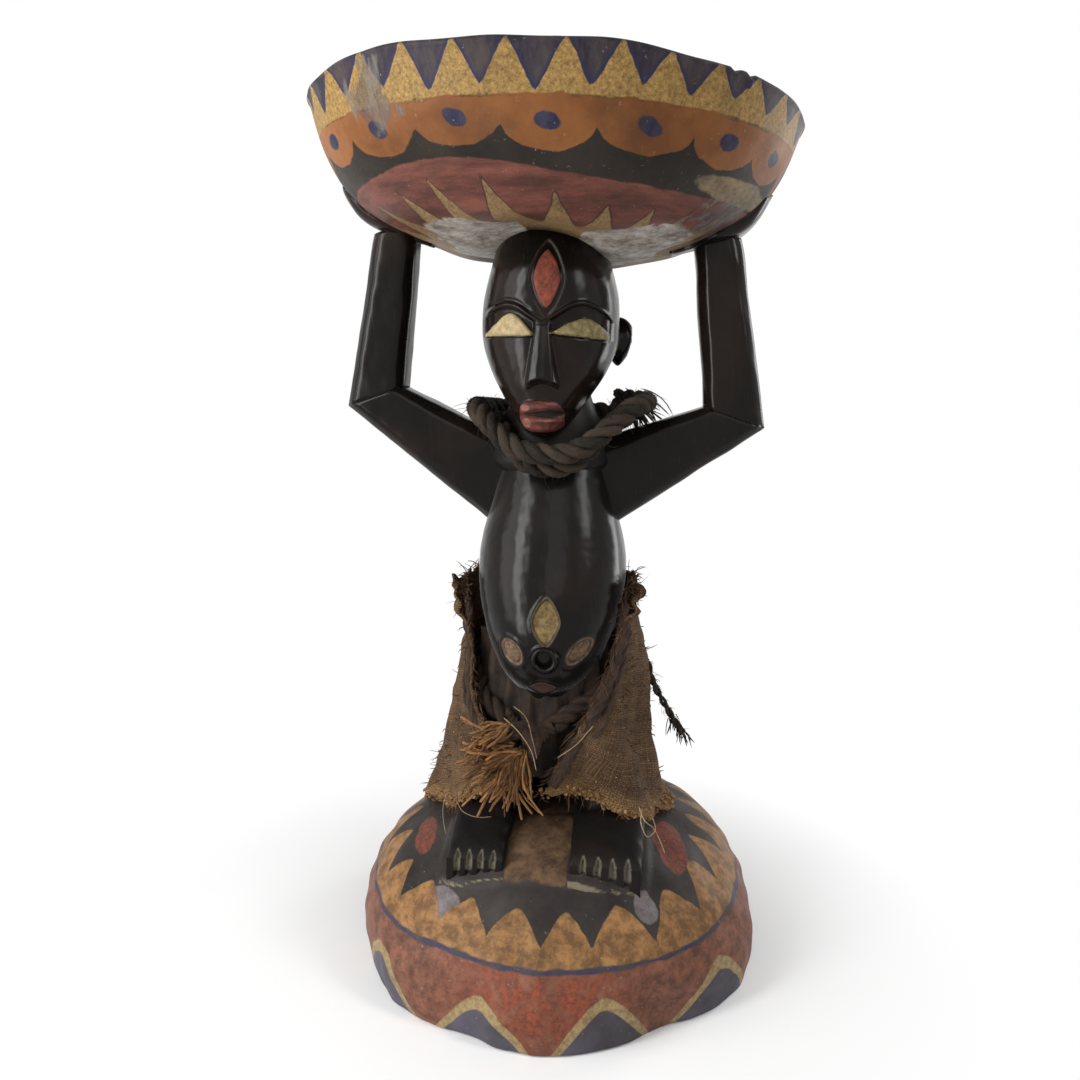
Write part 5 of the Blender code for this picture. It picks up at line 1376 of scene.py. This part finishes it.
def make_legs(finish):
    """Plain hips and legs, which the skirt all but hides."""

    def place(unit):
        return unit * np.array(HIPS_HALF) + np.array(HIPS_MIDDLE), {}

    piece("carved_hips", grid(64, 48), finish, balled(place), ("hips",))
    rows = 24
    for side, word in SIDES:
        middle = FEET[word][0]
        back = (ANKLE_Y + FOOT_TIP) / (FOOT_TIP - FOOT_HEEL)
        ankle = (middle, ANKLE_Y, float(foot_top(middle, back)) - 0.008)
        hip = (HIPS_MIDDLE[0] + side * HIP_JOINT_X, 0.0, HIP_JOINT_Z)
        line = route([ankle, part_way(ankle, hip, 0.5), hip], rows)
        radii = outline(LEG_RADII, np.linspace(0.0, 1.0, rows))[None].copy()
        radii[:, [0, -1]] = 0.0
        strands(f"carved_{word}_leg", line[None], radii, 32, finish, (f"{word}_leg",))


# Cloth, belt, tassel and ropes

def cloth_radius(angle, z):
    fall = np.clip((CLOTH_TOP - z) / CLOTH_DROP, 0.0, 1.0)
    radius = CLOTH_WAIST_RADIUS + (CLOTH_HEM_RADIUS - CLOTH_WAIST_RADIUS) * fall**2
    return radius + CLOTH_FOLD_DEPTH * fall**1.5 * np.cos(CLOTH_FOLDS * angle)


def cloth_point(angle, z, out=0.0):
    radius = cloth_radius(angle, z) + out
    x = CLOTH_OFFSET + radius * np.sin(angle)
    y = -radius * CLOTH_FLATTEN * np.cos(angle)
    return np.stack([x, y, z], axis=-1)


def cloth_hem(angle):
    low = cloth_point(angle, np.full(np.shape(angle), CLOTH_TOP - CLOTH_DROP))
    front = ((1 + np.cos(angle)) / 2) ** 2
    return dome_height(low[..., 0], low[..., 1]) + CLOTH_CLEAR + CLOTH_FRONT_RISE * front


# Where the cloth hangs lower and closer than the plain cone: degrees round and half width, drop of the hem,
# share up where it is tucked in most and how far
CLOTH_SAGS = [
    (62.0, 62.0, 0.0105, 0.18, 0.0), (92.0, 62.0, 0.0, 0.18, 0.0050), (92.0, 62.0, 0.0, 0.58, -0.0045),
    (-66.0, 54.0, 0.0080, 0.0, 0.0055), (52.0, 30.0, 0.0, 0.0, -0.0055),
]
CLOTH_TUCK_HALF = 0.36


def on_cloth(across, up, out=0.0):
    """A place on the skirt by its shares of the way round from the right edge and up from the hem."""
    right = CLOTH_RIGHT_EDGE + CLOTH_EDGE_SLANT * up
    left = math.tau - CLOTH_LEFT_EDGE - CLOTH_EDGE_SLANT * up
    angle = right + (left - right) * across
    hem = cloth_hem(angle)
    for at, half, drop, tuck_up, tuck in CLOTH_SAGS:
        near = bump(degrees_off(np.degrees(angle), at) / half)
        hem = hem - drop * near
        out = out - tuck * near * bump((up - tuck_up) / CLOTH_TUCK_HALF)
    return cloth_point(angle, hem + (CLOTH_TOP - hem) * up, out), angle


SKIRT_COLUMNS, SKIRT_ROWS = 300, 96
WEAVE_COLUMNS, WEAVE_ROWS = 320, 100
CLOTH_THREAD = 0.0016
CORNER_FLARE = 0.007  # how far the skirt's top corners stand out
SKIRT_SPREAD = (0.4, 0.13)  # the flat size that its waves are measured on


def thicken(made):
    wall = made.modifiers.new("thickness", "SOLIDIFY")
    wall.thickness = CLOTH_THREAD
    wall.offset = 0.0
    return made


def make_skirt():
    def place(flat):
        across, up = (flat[:, 0] + 1) / 2, (flat[:, 1] + 1) / 2
        spread = np.stack([across * SKIRT_SPREAD[0], up * SKIRT_SPREAD[1], np.zeros(len(up))], axis=1)
        ragged = ripples(spread, (0.012, 0.020), (0.006, 0.006), 101)
        ragged *= bump((1 - up) / 0.25) + bump(up / 0.2)
        side = 0.004 * wavy(spread, 0.012, 103) * (bump(across / 0.04) - bump((1 - across) / 0.04))
        points, angle = on_cloth(across + side, np.clip(up + ragged, -0.03, 1.05))
        ripple = ripples(spread, (0.0011, 0.045), (0.0006, 0.014), 104)
        curl = 0.0022 * (bump(across / 0.035) + bump((1 - across) / 0.035)) + 0.0015 * bump(up / 0.08)
        corner = bump(across / 0.045) + bump((1 - across) / 0.045)
        curl += CORNER_FLARE * corner * smoothstep(0.80, 0.90, up) * (1 + 0.5 * wavy(spread, 0.008, 110))
        away = np.stack([np.sin(angle), -np.cos(angle), np.zeros(len(angle))], axis=1)
        points += away * (ripple + curl)[:, None]
        return points, {"hem": bump(up / 0.10)}

    weave = make_cloth_weave(WEAVE_COLUMNS, WEAVE_ROWS)
    flat_cloth = grid(SKIRT_COLUMNS, SKIRT_ROWS)
    return thicken(piece("raffia_skirt", flat_cloth, weave, place, ("skirt_cloth",)))


FOLD_HALF_ANGLE = math.radians(70)
FOLD_TOP = 0.206
FOLD_BEHIND = 0.0125  # how far the inner fold lies behind the skirt's outer cloth
FOLD_CLEAR = 0.004  # how far it ends above the hem
ROLL_YARNS = (5, 0.16, 0.045)
EDGE_ROLLS = [  # share round the cloth, first and last share up it, how far out, radius
    (0.010, 0.94, 0.03, 0.0010, 0.0036),
    (0.030, 0.80, 0.30, 0.0016, 0.0024),
    (0.988, 0.92, 0.34, 0.0008, 0.0024),
    (0.972, 0.86, 0.45, 0.0010, 0.0020),
]


def make_inner_fold(dark_cloth):
    """Dark cloth that hangs behind the gap in the skirt's front, in upright folds."""

    def place(flat):
        angle = flat[:, 0] * FOLD_HALF_ANGLE
        up = (flat[:, 1] + 1) / 2
        hem = cloth_hem(angle)
        spread = np.stack([angle * 0.05, up * 0.03, np.zeros(len(up))], axis=1)
        folds = ripples(spread, (0.0020, 0.016), (0.0008, 0.006), 106)
        height = hem + FOLD_CLEAR + (FOLD_TOP - hem - FOLD_CLEAR) * up
        return cloth_point(angle, height, folds - FOLD_BEHIND), {}

    return thicken(piece("inner_fold", grid(120, 60), dark_cloth, place))


def make_edge_rolls(dark_cloth):
    """Rolled edges of cloth down both sides of the gap in the skirt's front."""
    rows = 60
    lines = []
    for across, first, last, out, _ in EDGE_ROLLS:
        up = np.linspace(first, last, rows)
        points, _ = on_cloth(np.full(rows, across), up, out)
        points += (0.0009 * wavy(points, 0.018, 108))[:, None]
        lines.append(points)
    radii = closed_ends(len(lines), rows, [roll[-1] for roll in EDGE_ROLLS])
    radii[:, 1:-1] *= 1 + 0.15 * np.sin(np.linspace(0.0, 16.0, rows - 2))[None]
    lines = np.stack(lines)
    return strands("edge_rolls", lines, radii, 20, dark_cloth, yarns=ROLL_YARNS, seed=109)


def round_the_cloth(angle):
    """Directions out of the cloth and along it towards the right, at angles round it."""
    still = np.zeros(len(angle))
    out = np.stack([np.sin(angle), -CLOTH_FLATTEN * np.cos(angle), still], axis=1)
    return out, np.stack([np.cos(angle), np.sin(angle), still], axis=1)


# Loose threads: number, ranges of share round and up the cloth, way out, along and up, how far ways differ,
# shortest and longest, droop and curl
LOOSE_THREADS = [
    (520, (0.0, 1.0), (0.0, 1.0), (0.9, 0.0, 0.1), 0.50, (0.002, 0.006), 0.30, 0.35),
    (110, (0.0, 0.0), (0.0, 1.0), (0.35, -1.0, -0.25), 0.35, (0.003, 0.010), 0.50, 0.30),
    (110, (1.0, 1.0), (0.0, 1.0), (0.35, 1.0, -0.25), 0.35, (0.002, 0.007), 0.50, 0.30),
    (190, (0.0, 1.0), (0.0, 0.0), (0.2, 0.0, -1.0), 0.35, (0.002, 0.008), 0.20, 0.30),
    (230, (0.62, 0.76), (0.02, 0.30), (1.0, 0.0, 0.0), 0.16, (0.005, 0.011), 0.10, 0.12),
    (110, (0.0, 0.06), (0.88, 1.0), (0.6, 0.1, 0.20), 0.45, (0.002, 0.007), 0.25, 0.60),
    (120, (0.94, 1.0), (0.86, 1.0), (0.6, -0.1, 0.05), 0.45, (0.002, 0.007), 0.25, 0.60),
    (90, (0.0, 1.0), (1.0, 1.0), (0.3, 0.0, 0.9), 0.40, (0.003, 0.009), 0.20, 0.40),
]


def make_fringe(brown):
    """Loose thread ends all over the skirt: fuzz, frayed front edges, ragged top corners and side threads."""
    rng = np.random.default_rng(111)
    groups = []
    for number, across, up, way, spread, length, droop, curl in LOOSE_THREADS:
        starts, angle = on_cloth(rng.uniform(*across, number), rng.uniform(*up, number), 0.0004)
        out, along = round_the_cloth(angle)
        ways = rng.normal(way, spread, (number, 3))
        direction = out * ways[:, :1] + along * ways[:, 1:2] + np.array([[0.0, 0.0, 1.0]]) * ways[:, 2:]
        groups.append(wisps(starts, direction, rng.uniform(*length, number), 7, droop, curl, rng))
    lines = np.concatenate(groups)
    radii = closed_ends(len(lines), 7, rng.uniform(0.00022, 0.00048, len(lines)), 0.55)
    return strands("skirt_fringe", lines, radii, 5, brown, seed=112)


HEM_LOOPS, HEM_LOOP_SIZES, HEM_LOOP_WIDTH = 230, (0.0014, 0.0028), 0.0016
HEM_THREADS = (0.0007, 0.0013)


def make_hem(golden):
    """A thick looped edge along the hem."""
    rng = np.random.default_rng(121)
    n, rows = HEM_LOOPS, 9
    across = (np.arange(n) + rng.uniform(-0.3, 0.3, n)) / n
    starts, angle = on_cloth(np.clip(across, 0, 1), np.full(n, 0.012) + rng.normal(0.0, 0.008, n), 0.0008)
    out, along = round_the_cloth(angle)
    turn = np.linspace(0.0, 1.6 * math.pi, rows)[None, :, None] + rng.uniform(0, 1.5, n)[:, None, None]
    size = rng.uniform(*HEM_LOOP_SIZES, n)[:, None, None]
    drift = np.linspace(-0.5, 0.5, rows)[None, :, None] * HEM_LOOP_WIDTH
    lines = starts[:, None] + size * (np.cos(turn) * out[:, None] + np.sin(turn) * np.array([0, 0, 1.0]))
    lines = lines + along[:, None] * drift
    radii = closed_ends(n, rows, rng.uniform(*HEM_THREADS, n))
    return strands("skirt_hem", lines, radii, 6, golden, seed=122)


LONG_THREADS = [  # radius in metres, and points from end to end in millimetres
    (0.0004, [(60, -62, 117), (64, -68, 111), (69, -66, 106), (73, -69, 100), (76, -72, 94)]),
    (0.0004, [(62, -62, 116), (62, -68, 109), (66, -71, 103), (70, -68, 106), (68, -64, 112)]),
    (0.0003, [(-52, -60, 116), (-53, -66, 109), (-52, -69, 102), (-50, -72, 96)]),
    (0.0003, [(-46, -64, 115), (-40, -72, 111), (-30, -76, 110), (-22, -76, 111)]),
    (0.0003, [(-12, -66, 174), (-5, -68, 169), (0, -72, 157), (3, -74, 146)]),
    (0.0003, [(-18, -64, 166), (-8, -70, 160), (0, -74, 150), (3, -76, 140)]),
    (0.0003, [(33, -58, 162), (24, -66, 153), (14, -72, 147)]),
]


def make_threads(pale):
    """Pale threads that hang from the hem and cross the belt."""
    lines = np.stack([route(np.array(points) / MM, 26) for _, points in LONG_THREADS])
    radii = closed_ends(len(lines), 26, [radius for radius, _ in LONG_THREADS], 0.3)
    return strands("loose_threads", lines, radii, 6, pale, seed=131)


ROPE_STRAND = 0.235  # a strand's radius as a share of the rope's diameter
ROPE_YARNS, ROPE_YARN_DEPTH, ROPE_YARN_PITCH = 7, 0.17, -0.55  # the pitch is a share of the strands' own
ROPE_PITCH, CORD_PITCH = 0.030, 0.016


def rope(name, path, diameter, turns_pitch, finish, stands_for, count=3, seed=0):
    """A laid rope: strands twisted round a path, each with yarns twisted the other way."""
    size = diameter * ROPE_STRAND
    rows = len(path)
    along = np.concatenate([[0.0], np.cumsum(np.linalg.norm(np.diff(path, axis=0), axis=1))])
    side, up = (v[0] for v in frames(path[None]))
    lines = []
    for k in range(count):
        turn = math.tau * (along / turns_pitch + k / count)
        uneven = 1 + 0.07 * np.sin(along * 130.0 + 2.1 * k) + 0.05 * np.sin(along * 310.0 + k)
        ring = np.cos(turn)[:, None] * side + np.sin(turn)[:, None] * up
        lines.append(path + (diameter / 2 - size) * uneven[:, None] * ring)
    lines = np.stack(lines)
    radii = np.full((count, rows), size)
    slow = 0.06 * np.sin(along * 170.0)[None]
    quick = 0.05 * np.sin(along * 410.0 + np.arange(count)[:, None] * 2.0)
    radii *= 1 + slow + quick
    radii[:, 0] = 0.0
    radii[:, -1] = 0.0
    yarns = (ROPE_YARNS, ROPE_YARN_DEPTH, turns_pitch * ROPE_YARN_PITCH)
    made = strands(name, lines, radii, 42, finish, stands_for, yarns, seed)
    return made, lines, size


def make_rope_fuzz(name, lines, size, number, lengths, finish, seed):
    """Stray hairs that stand off a rope's strands."""
    rng = np.random.default_rng(seed)
    k = rng.integers(0, lines.shape[0], number)
    j = rng.integers(2, lines.shape[1] - 3, number)
    ahead = lines[k, j + 1] - lines[k, j - 1]
    ahead /= np.linalg.norm(ahead, axis=1, keepdims=True)
    away = np.cross(ahead, rng.normal(size=(number, 3)))
    away /= np.linalg.norm(away, axis=1, keepdims=True)
    starts = lines[k, j] + away * size * 0.85
    ways = away * 0.8 + ahead * 0.8
    hairs = wisps(starts, ways, rng.uniform(*lengths, number), 6, 0.15, 0.35, rng)
    radii = closed_ends(number, 6, rng.uniform(0.00012, 0.00026, number), 0.6)
    return strands(name, hairs, radii, 4, finish, seed=seed + 1)


NECK_ROPE_TURNS, NECK_ROPE_FIRST = 2.0, math.radians(60)
NECK_ROPE_RADIUS, NECK_ROPE_SPREAD = 0.031, 0.0118777  # of the first turn, and how much wider each turn gets
NECK_ROPE_BACK, NECK_ROPE_LOW = 0.3274179, 0.3013316  # heights on the shoulders and at the front
NECK_ROPE_CLIMB = 0.0083169  # for each turn
NECK_ROPE_SQUARENESS, NECK_ROPE_FLATTEN = 0.75, 0.92


def neck_route():
    """Two turns round the neck, each outside and above the last, low at the front and on the shoulders."""
    turn = np.linspace(0.0, NECK_ROPE_TURNS, 49)
    angle = NECK_ROPE_FIRST + math.tau * turn
    radius = NECK_ROPE_RADIUS + NECK_ROPE_SPREAD * turn
    across = np.sign(np.cos(angle)) * np.abs(np.cos(angle)) ** NECK_ROPE_SQUARENESS
    along = np.sign(np.sin(angle)) * np.abs(np.sin(angle)) ** NECK_ROPE_SQUARENESS
    front = np.maximum(0.0, -np.sin(angle)) ** 4
    height = NECK_ROPE_BACK * (1 - front) + NECK_ROPE_LOW * front + NECK_ROPE_CLIMB * turn
    return np.stack([TORSO_OFFSET + radius * across, radius * NECK_ROPE_FLATTEN * along, height], axis=1)


NECK_FRAY_NUMBER, NECK_FRAY_LENGTHS, NECK_FRAY_RADII = 46, (0.012, 0.030), (0.0004, 0.0009)
NECK_FRAY_FROM_END = (0.008, -0.010, 0.003)
NECK_FRAY_WAY = (0.62, -0.55, -0.55)


def make_neck_rope(finish):
    path = route(neck_route(), 560)
    made, lines, size = rope("neck_rope_laid", path, NECK_ROPE, ROPE_PITCH, finish, ("neck_rope",), seed=141)
    make_rope_fuzz("neck_rope_fuzz", lines, size, 420, (0.003, 0.009), finish, 142)
    rng = np.random.default_rng(144)
    n = NECK_FRAY_NUMBER
    starts = path[-1] + np.array(NECK_FRAY_FROM_END) + rng.normal(size=(n, 3)) * 0.0026
    ways = rng.normal(NECK_FRAY_WAY, 0.20, (n, 3))
    frayed = wisps(starts, ways, rng.uniform(*NECK_FRAY_LENGTHS, n), 8, 0.30, 0.10, rng)
    radii = closed_ends(n, 8, rng.uniform(*NECK_FRAY_RADII, n), 0.3)
    strands("neck_rope_end", frayed, radii, 5, finish, seed=145)


BELT_ROUND, BELT_STEEP = 0.10, 0.65  # how the belt rises from the knot to the back
BELT_PAST_KNOT = 0.0116  # angle between the knot's edge and the rope's ends


def belt_height(angle):
    steep = np.hypot(np.sin(angle / 2), BELT_ROUND) ** BELT_STEEP
    least, most = BELT_ROUND**BELT_STEEP, math.hypot(1.0, BELT_ROUND) ** BELT_STEEP
    return WAIST_ROPE_FRONT + (WAIST_ROPE_BACK - WAIST_ROPE_FRONT) * (steep - least) / (most - least)


def belt_point(angle):
    """The belt's middle at an angle from its knot: inside the cloth, and out between its front edges."""
    under = -(CLOTH + WAIST_ROPE) / 2 - 0.0013
    emerged = np.maximum(0.0, 1 - np.abs(angle) / (KNOT_HALF_ANGLE * 0.8))
    emerged = emerged * emerged * (3 - 2 * emerged)
    return cloth_point(KNOT_ANGLE + angle, belt_height(angle), under + (KNOT_PROUD - under) * emerged)


def make_belt(finish):
    first = KNOT_HALF_ANGLE + BELT_PAST_KNOT
    angles = np.linspace(first, math.tau - first, 60)
    path = route(belt_point(np.where(angles < math.pi, angles, angles - math.tau)), 300)
    made, lines, size = rope(
        "waist_rope_laid", path, WAIST_ROPE, ROPE_PITCH, finish, ("waist_rope",), seed=151,
    )
    knot = make_knot(finish)
    make_rope_fuzz("waist_rope_fuzz", lines[:, 3:60], size, 70, (0.003, 0.008), finish, 152)


KNOT_YARNS = (6, 0.14, 0.018)
KNOT_LOOPS = ((0.5, 0.0080, 0.0), (-0.7, 0.0074, 2.0), (1.5, 0.0066, 4.0))  # tilt, size and first angle
KNOT_RADII = [0.0036, 0.0034, 0.0032, 0.0046, 0.0046]  # of the loops, then of the belt's two ends
KNOT_STEPS = 70


def make_knot(finish):
    """Crossed turns of rope where the belt's two ends are tied."""
    middle = belt_point(np.zeros(1))[0]
    loops = []
    t = np.linspace(0.0, 1.0, KNOT_STEPS)
    for tilt, size, phase in KNOT_LOOPS:
        turn = math.tau * t * 1.02 + phase
        x = size * 1.15 * np.cos(turn)
        y = size * 0.55 * np.sin(2 * turn + phase)
        z = size * np.sin(turn)
        c, s = math.cos(tilt), math.sin(tilt)
        loops.append(middle + np.stack([c * x - s * z, y, s * x + c * z], axis=1))
    for sign in (-1, 1):
        angles = sign * np.linspace(0.05, 1.0, KNOT_STEPS) * (KNOT_HALF_ANGLE + 0.02)
        loops.append(belt_point(angles))
    lines = np.stack(loops)
    radii = closed_ends(len(lines), KNOT_STEPS, KNOT_RADII)
    return strands("tied_knot", lines, radii, 20, finish, ("belt_knot",), KNOT_YARNS, 161)


TASSEL_FANS = [  # across and up from the knot, first and last direction in degrees, number, lengths
    (0.0015, -0.0010, 178.0, 274.0, 190, (0.012, 0.030)),
    (-0.0060, 0.0120, 190.0, 226.0, 80, (0.008, 0.020)),
]
TASSEL_FORWARD = (-0.34, 0.16)  # how far straws point forward, and how much that differs
TASSEL_BEFORE_KNOT = -0.006
TASSEL_RADII = (0.00038, 0.00085)
TASSEL_FRONT = -0.0835
TASSEL_CLEAR = 0.014
TASSEL_BLUNT = 0.15  # how much of a straw's last step is left, so that its end is cut square


def make_tassel(straw):
    """A spray of stiff straws that fans to the left and down from the knot."""
    rng = np.random.default_rng(171)
    knot = belt_point(np.zeros(1))[0]
    rows = 10
    groups = []
    for across, up, first, last, number, length in TASSEL_FANS:
        angle = np.radians(rng.uniform(first, last, number))
        ways = np.stack([np.cos(angle), rng.normal(*TASSEL_FORWARD, number), np.sin(angle)], axis=1)
        starts = knot + np.array([across, TASSEL_BEFORE_KNOT, up]) + rng.normal(size=(number, 3)) * 0.0018
        starts += ways * rng.uniform(0.0, 0.006, number)[:, None]
        groups.append(wisps(starts, ways, rng.uniform(*length, number), rows, 0.08, 0.20, rng))
    lines = np.concatenate(groups)
    lowest = dome_height(lines[..., 0], lines[..., 1]) + TASSEL_CLEAR
    lines[..., 2] = np.maximum(lines[..., 2], lowest)
    lines[..., 1] = np.maximum(lines[..., 1], TASSEL_FRONT)
    lines[:, -2] = lines[:, -1] + (lines[:, -2] - lines[:, -1]) * TASSEL_BLUNT
    radii = closed_ends(len(lines), rows, rng.uniform(*TASSEL_RADII, len(lines)))
    strands("straw_tassel", lines, radii, 6, straw, ("tassel",), seed=172)


HANGING_CORD_TOP = BELLY_BOTTOM + 0.020
HANGING_CORD_LOOK = HANGING_CORD * 0.75  # its two loose strands leave the declared round partly empty
CORD_FRAY_NUMBER, CORD_FRAY_LENGTHS, CORD_FRAY_RADII = 34, (0.004, 0.011), (0.0003, 0.0007)
CORD_FRAY_WAYS = [(0.55, -0.1, -1.0), (0.10, 0.1, -1.0), (0.95, 0.0, -0.8), (-0.15, 0.0, -1.0)]


def make_hanging_cord(finish):
    """A short two-strand cord from the skirt's right side, splayed into loose ends."""
    out = (CLOTH + HANGING_CORD) / 2 + 0.0006
    angle = np.array(HANGING_CORD_ANGLE)
    points = []
    for away, up in HANGING_CORD_POINTS:
        points.append(cloth_point(angle, np.array(HANGING_CORD_TOP + up), out + away))
    path = route(points, 90)
    made, lines, size = rope(
        "hanging_cord_laid", path, HANGING_CORD_LOOK, CORD_PITCH, finish, ("hanging_cord",), 2, 181,
    )
    rng = np.random.default_rng(182)
    n = CORD_FRAY_NUMBER
    starts = path[rng.integers(60, 88, n)] + rng.normal(size=(n, 3)) * 0.0010
    bundle = rng.integers(0, len(CORD_FRAY_WAYS), n)
    ways = np.array(CORD_FRAY_WAYS)[bundle] + rng.normal(size=(n, 3)) * 0.10
    frayed = wisps(starts, ways, rng.uniform(*CORD_FRAY_LENGTHS, n), 7, 0.2, 0.12, rng)
    radii = closed_ends(n, 7, rng.uniform(*CORD_FRAY_RADII, n), 0.4)
    strands("hanging_cord_end", frayed, radii, 5, finish, seed=183)
    make_rope_fuzz("hanging_cord_fuzz", lines, size, 70, (0.002, 0.006), finish, 184)


# Stage

FLOOR_HALF = 4.0
FLOOR_COLOUR, FLOOR_ROUGHNESS = (0.86, 0.86, 0.86), 0.9
FLOOR_FADE = (0.12, 0.27)  # distances from the middle


def make_floor():
    """A pale floor that fades to the white backdrop away from the stool."""
    bm = bmesh.new()
    bmesh.ops.create_grid(bm, x_segments=8, y_segments=8, size=FLOOR_HALF)
    mesh = bpy.data.meshes.new("floor")
    bm.to_mesh(mesh)
    bm.free()
    f = Finish("pale_floor")
    f.put(f.shader.inputs["Base Color"], FLOOR_COLOUR)
    f.put(f.shader.inputs["Roughness"], FLOOR_ROUGHNESS)
    white = f.add("Emission", {"Color": (1.0, 1.0, 1.0), "Strength": 1.0}).outputs[0]
    away = f.add("VectorMath", {0: f.place}, operation="LENGTH").outputs["Value"]
    path = f.add("LightPath")
    seen = f.math("MAXIMUM", path.outputs["Is Camera Ray"], path.outputs["Is Glossy Ray"])
    seen = f.math("MAXIMUM", seen, path.outputs["Is Transmission Ray"])
    share = f.math("MULTIPLY", f.span(away, *FLOOR_FADE), seen)
    mixed = f.add("MixShader", {0: share, 1: f.shader.outputs[0], 2: white}).outputs[0]
    f.put(f.tree.nodes["Material Output"].inputs["Surface"], mixed)
    mesh.materials.append(f.material)
    floor = bpy.data.objects.new("floor", mesh)
    bpy.context.scene.collection.objects.link(floor)


WORLD_STRENGTH = 0.32


def make_world():
    """White where the camera, a reflection or a see-through surface looks at it, and soft light elsewhere."""
    world = bpy.data.worlds.new("studio")
    world.use_nodes = True
    tree = world.node_tree
    soft = tree.nodes["Background"]
    white = tree.nodes.new("ShaderNodeBackground")
    for background, strength in ((soft, WORLD_STRENGTH), (white, 1.0)):
        background.inputs["Color"].default_value = (1.0, 1.0, 1.0, 1.0)
        background.inputs["Strength"].default_value = strength
    path = tree.nodes.new("ShaderNodeLightPath")
    seen = path.outputs["Is Camera Ray"]
    for kind in ("Is Glossy Ray", "Is Transmission Ray"):
        either = tree.nodes.new("ShaderNodeMath")
        either.operation = "MAXIMUM"
        tree.links.new(seen, either.inputs[0])
        tree.links.new(path.outputs[kind], either.inputs[1])
        seen = either.outputs[0]
    mix = tree.nodes.new("ShaderNodeMixShader")
    tree.links.new(seen, mix.inputs[0])
    tree.links.new(soft.outputs[0], mix.inputs[1])
    tree.links.new(white.outputs[0], mix.inputs[2])
    tree.links.new(mix.outputs[0], tree.nodes["World Output"].inputs["Surface"])
    bpy.context.scene.world = world


LAMPS = [  # name, place, size, power
    ("key", (-0.58, -0.62, 0.47), (0.20, 0.90), 8.2),
    ("left", (-0.84, -0.40, 0.50), (0.34, 0.90), 3.4),
    ("front", (0.25, -1.60, 1.30), (1.0, 1.0), 4.0),
    ("high_right", (1.15, -0.50, 1.10), (0.34, 0.7), 8.0),
    ("right_edge", (0.95, 0.75, 0.45), (0.35, 1.2), 7.0),
]
LAMP_AIM = (0.0, 0.0, 0.27)


def make_lamps():
    for name, place, (width, height), power in LAMPS:
        light = bpy.data.lights.new(name, "AREA")
        light.shape = "RECTANGLE"
        light.size, light.size_y = width, height
        light.energy = power
        lamp = bpy.data.objects.new(name, light)
        lamp.location = place
        lamp.rotation_euler = (Vector(LAMP_AIM) - Vector(place)).to_track_quat("-Z", "Y").to_euler()
        bpy.context.scene.collection.objects.link(lamp)


CAMERA_PLACE = (0.0688, -0.5720, 0.36075)
CAMERA_TURN = math.radians(7.5)
CAMERA_TILT = 0.1765
CAMERA_ROLL = 0.0115
FOCAL_PX, FRAME_PX = 950.0, 1080.0
SENSOR_MM = 36.0


def make_camera():
    data = bpy.data.cameras.new("camera")
    data.sensor_width = SENSOR_MM
    data.lens = SENSOR_MM * FOCAL_PX / FRAME_PX
    camera = bpy.data.objects.new("camera", data)
    turn = Matrix.Rotation(CAMERA_TURN, 4, "Z") @ Matrix.Rotation(math.pi / 2 - CAMERA_TILT, 4, "X")
    camera.matrix_world = Matrix.Translation(CAMERA_PLACE) @ turn @ Matrix.Rotation(CAMERA_ROLL, 4, "Z")
    bpy.context.scene.collection.objects.link(camera)
    bpy.context.scene.camera = camera


def main():
    make_camera()
    make_world()
    make_lamps()
    make_floor()
    bpy.context.scene.view_settings.view_transform = "Standard"
    black = make_black_wood("black_wood", 0.0)
    matt_black = make_black_wood("matt_black_wood", 0.25)
    rope_fibre = make_fibre("rope_fibre", (0.0050, 0.0038, 0.0030), (0.060, 0.042, 0.027), 0.8)
    dark_cloth = make_fibre("dark_cloth", (0.006, 0.0040, 0.0028), (0.072, 0.040, 0.025), 0.85)
    brown_fibre = make_fibre("brown_fibre", (0.026, 0.014, 0.008), (0.180, 0.098, 0.048), 0.8, 0.4)
    straw = make_fibre("straw_fibre", (0.028, 0.010, 0.004), (0.410, 0.195, 0.066), 0.6, 0.4)
    golden = make_fibre("golden_fibre", (0.080, 0.036, 0.013), (0.430, 0.240, 0.085), 0.6, 0.4)
    pale = make_fibre("pale_thread", (0.22, 0.15, 0.075), (0.50, 0.38, 0.22), 0.7, 0.4)
    make_neck_rope(rope_fibre)
    make_belt(dark_cloth)
    make_hanging_cord(rope_fibre)
    make_seat()
    make_base()
    make_head(make_face_wood())
    make_ears(black)
    make_torso(make_belly_wood())
    make_neck(matt_black)
    make_navel(black)
    make_arms(black)
    make_hands(black)
    make_feet(matt_black)
    make_legs(matt_black)
    skirt = make_skirt()
    loose = [make_inner_fold(dark_cloth), make_edge_rolls(dark_cloth)]
    loose += [make_fringe(brown_fibre), make_hem(golden)]
    make_threads(pale)
    make_tassel(straw)


main()
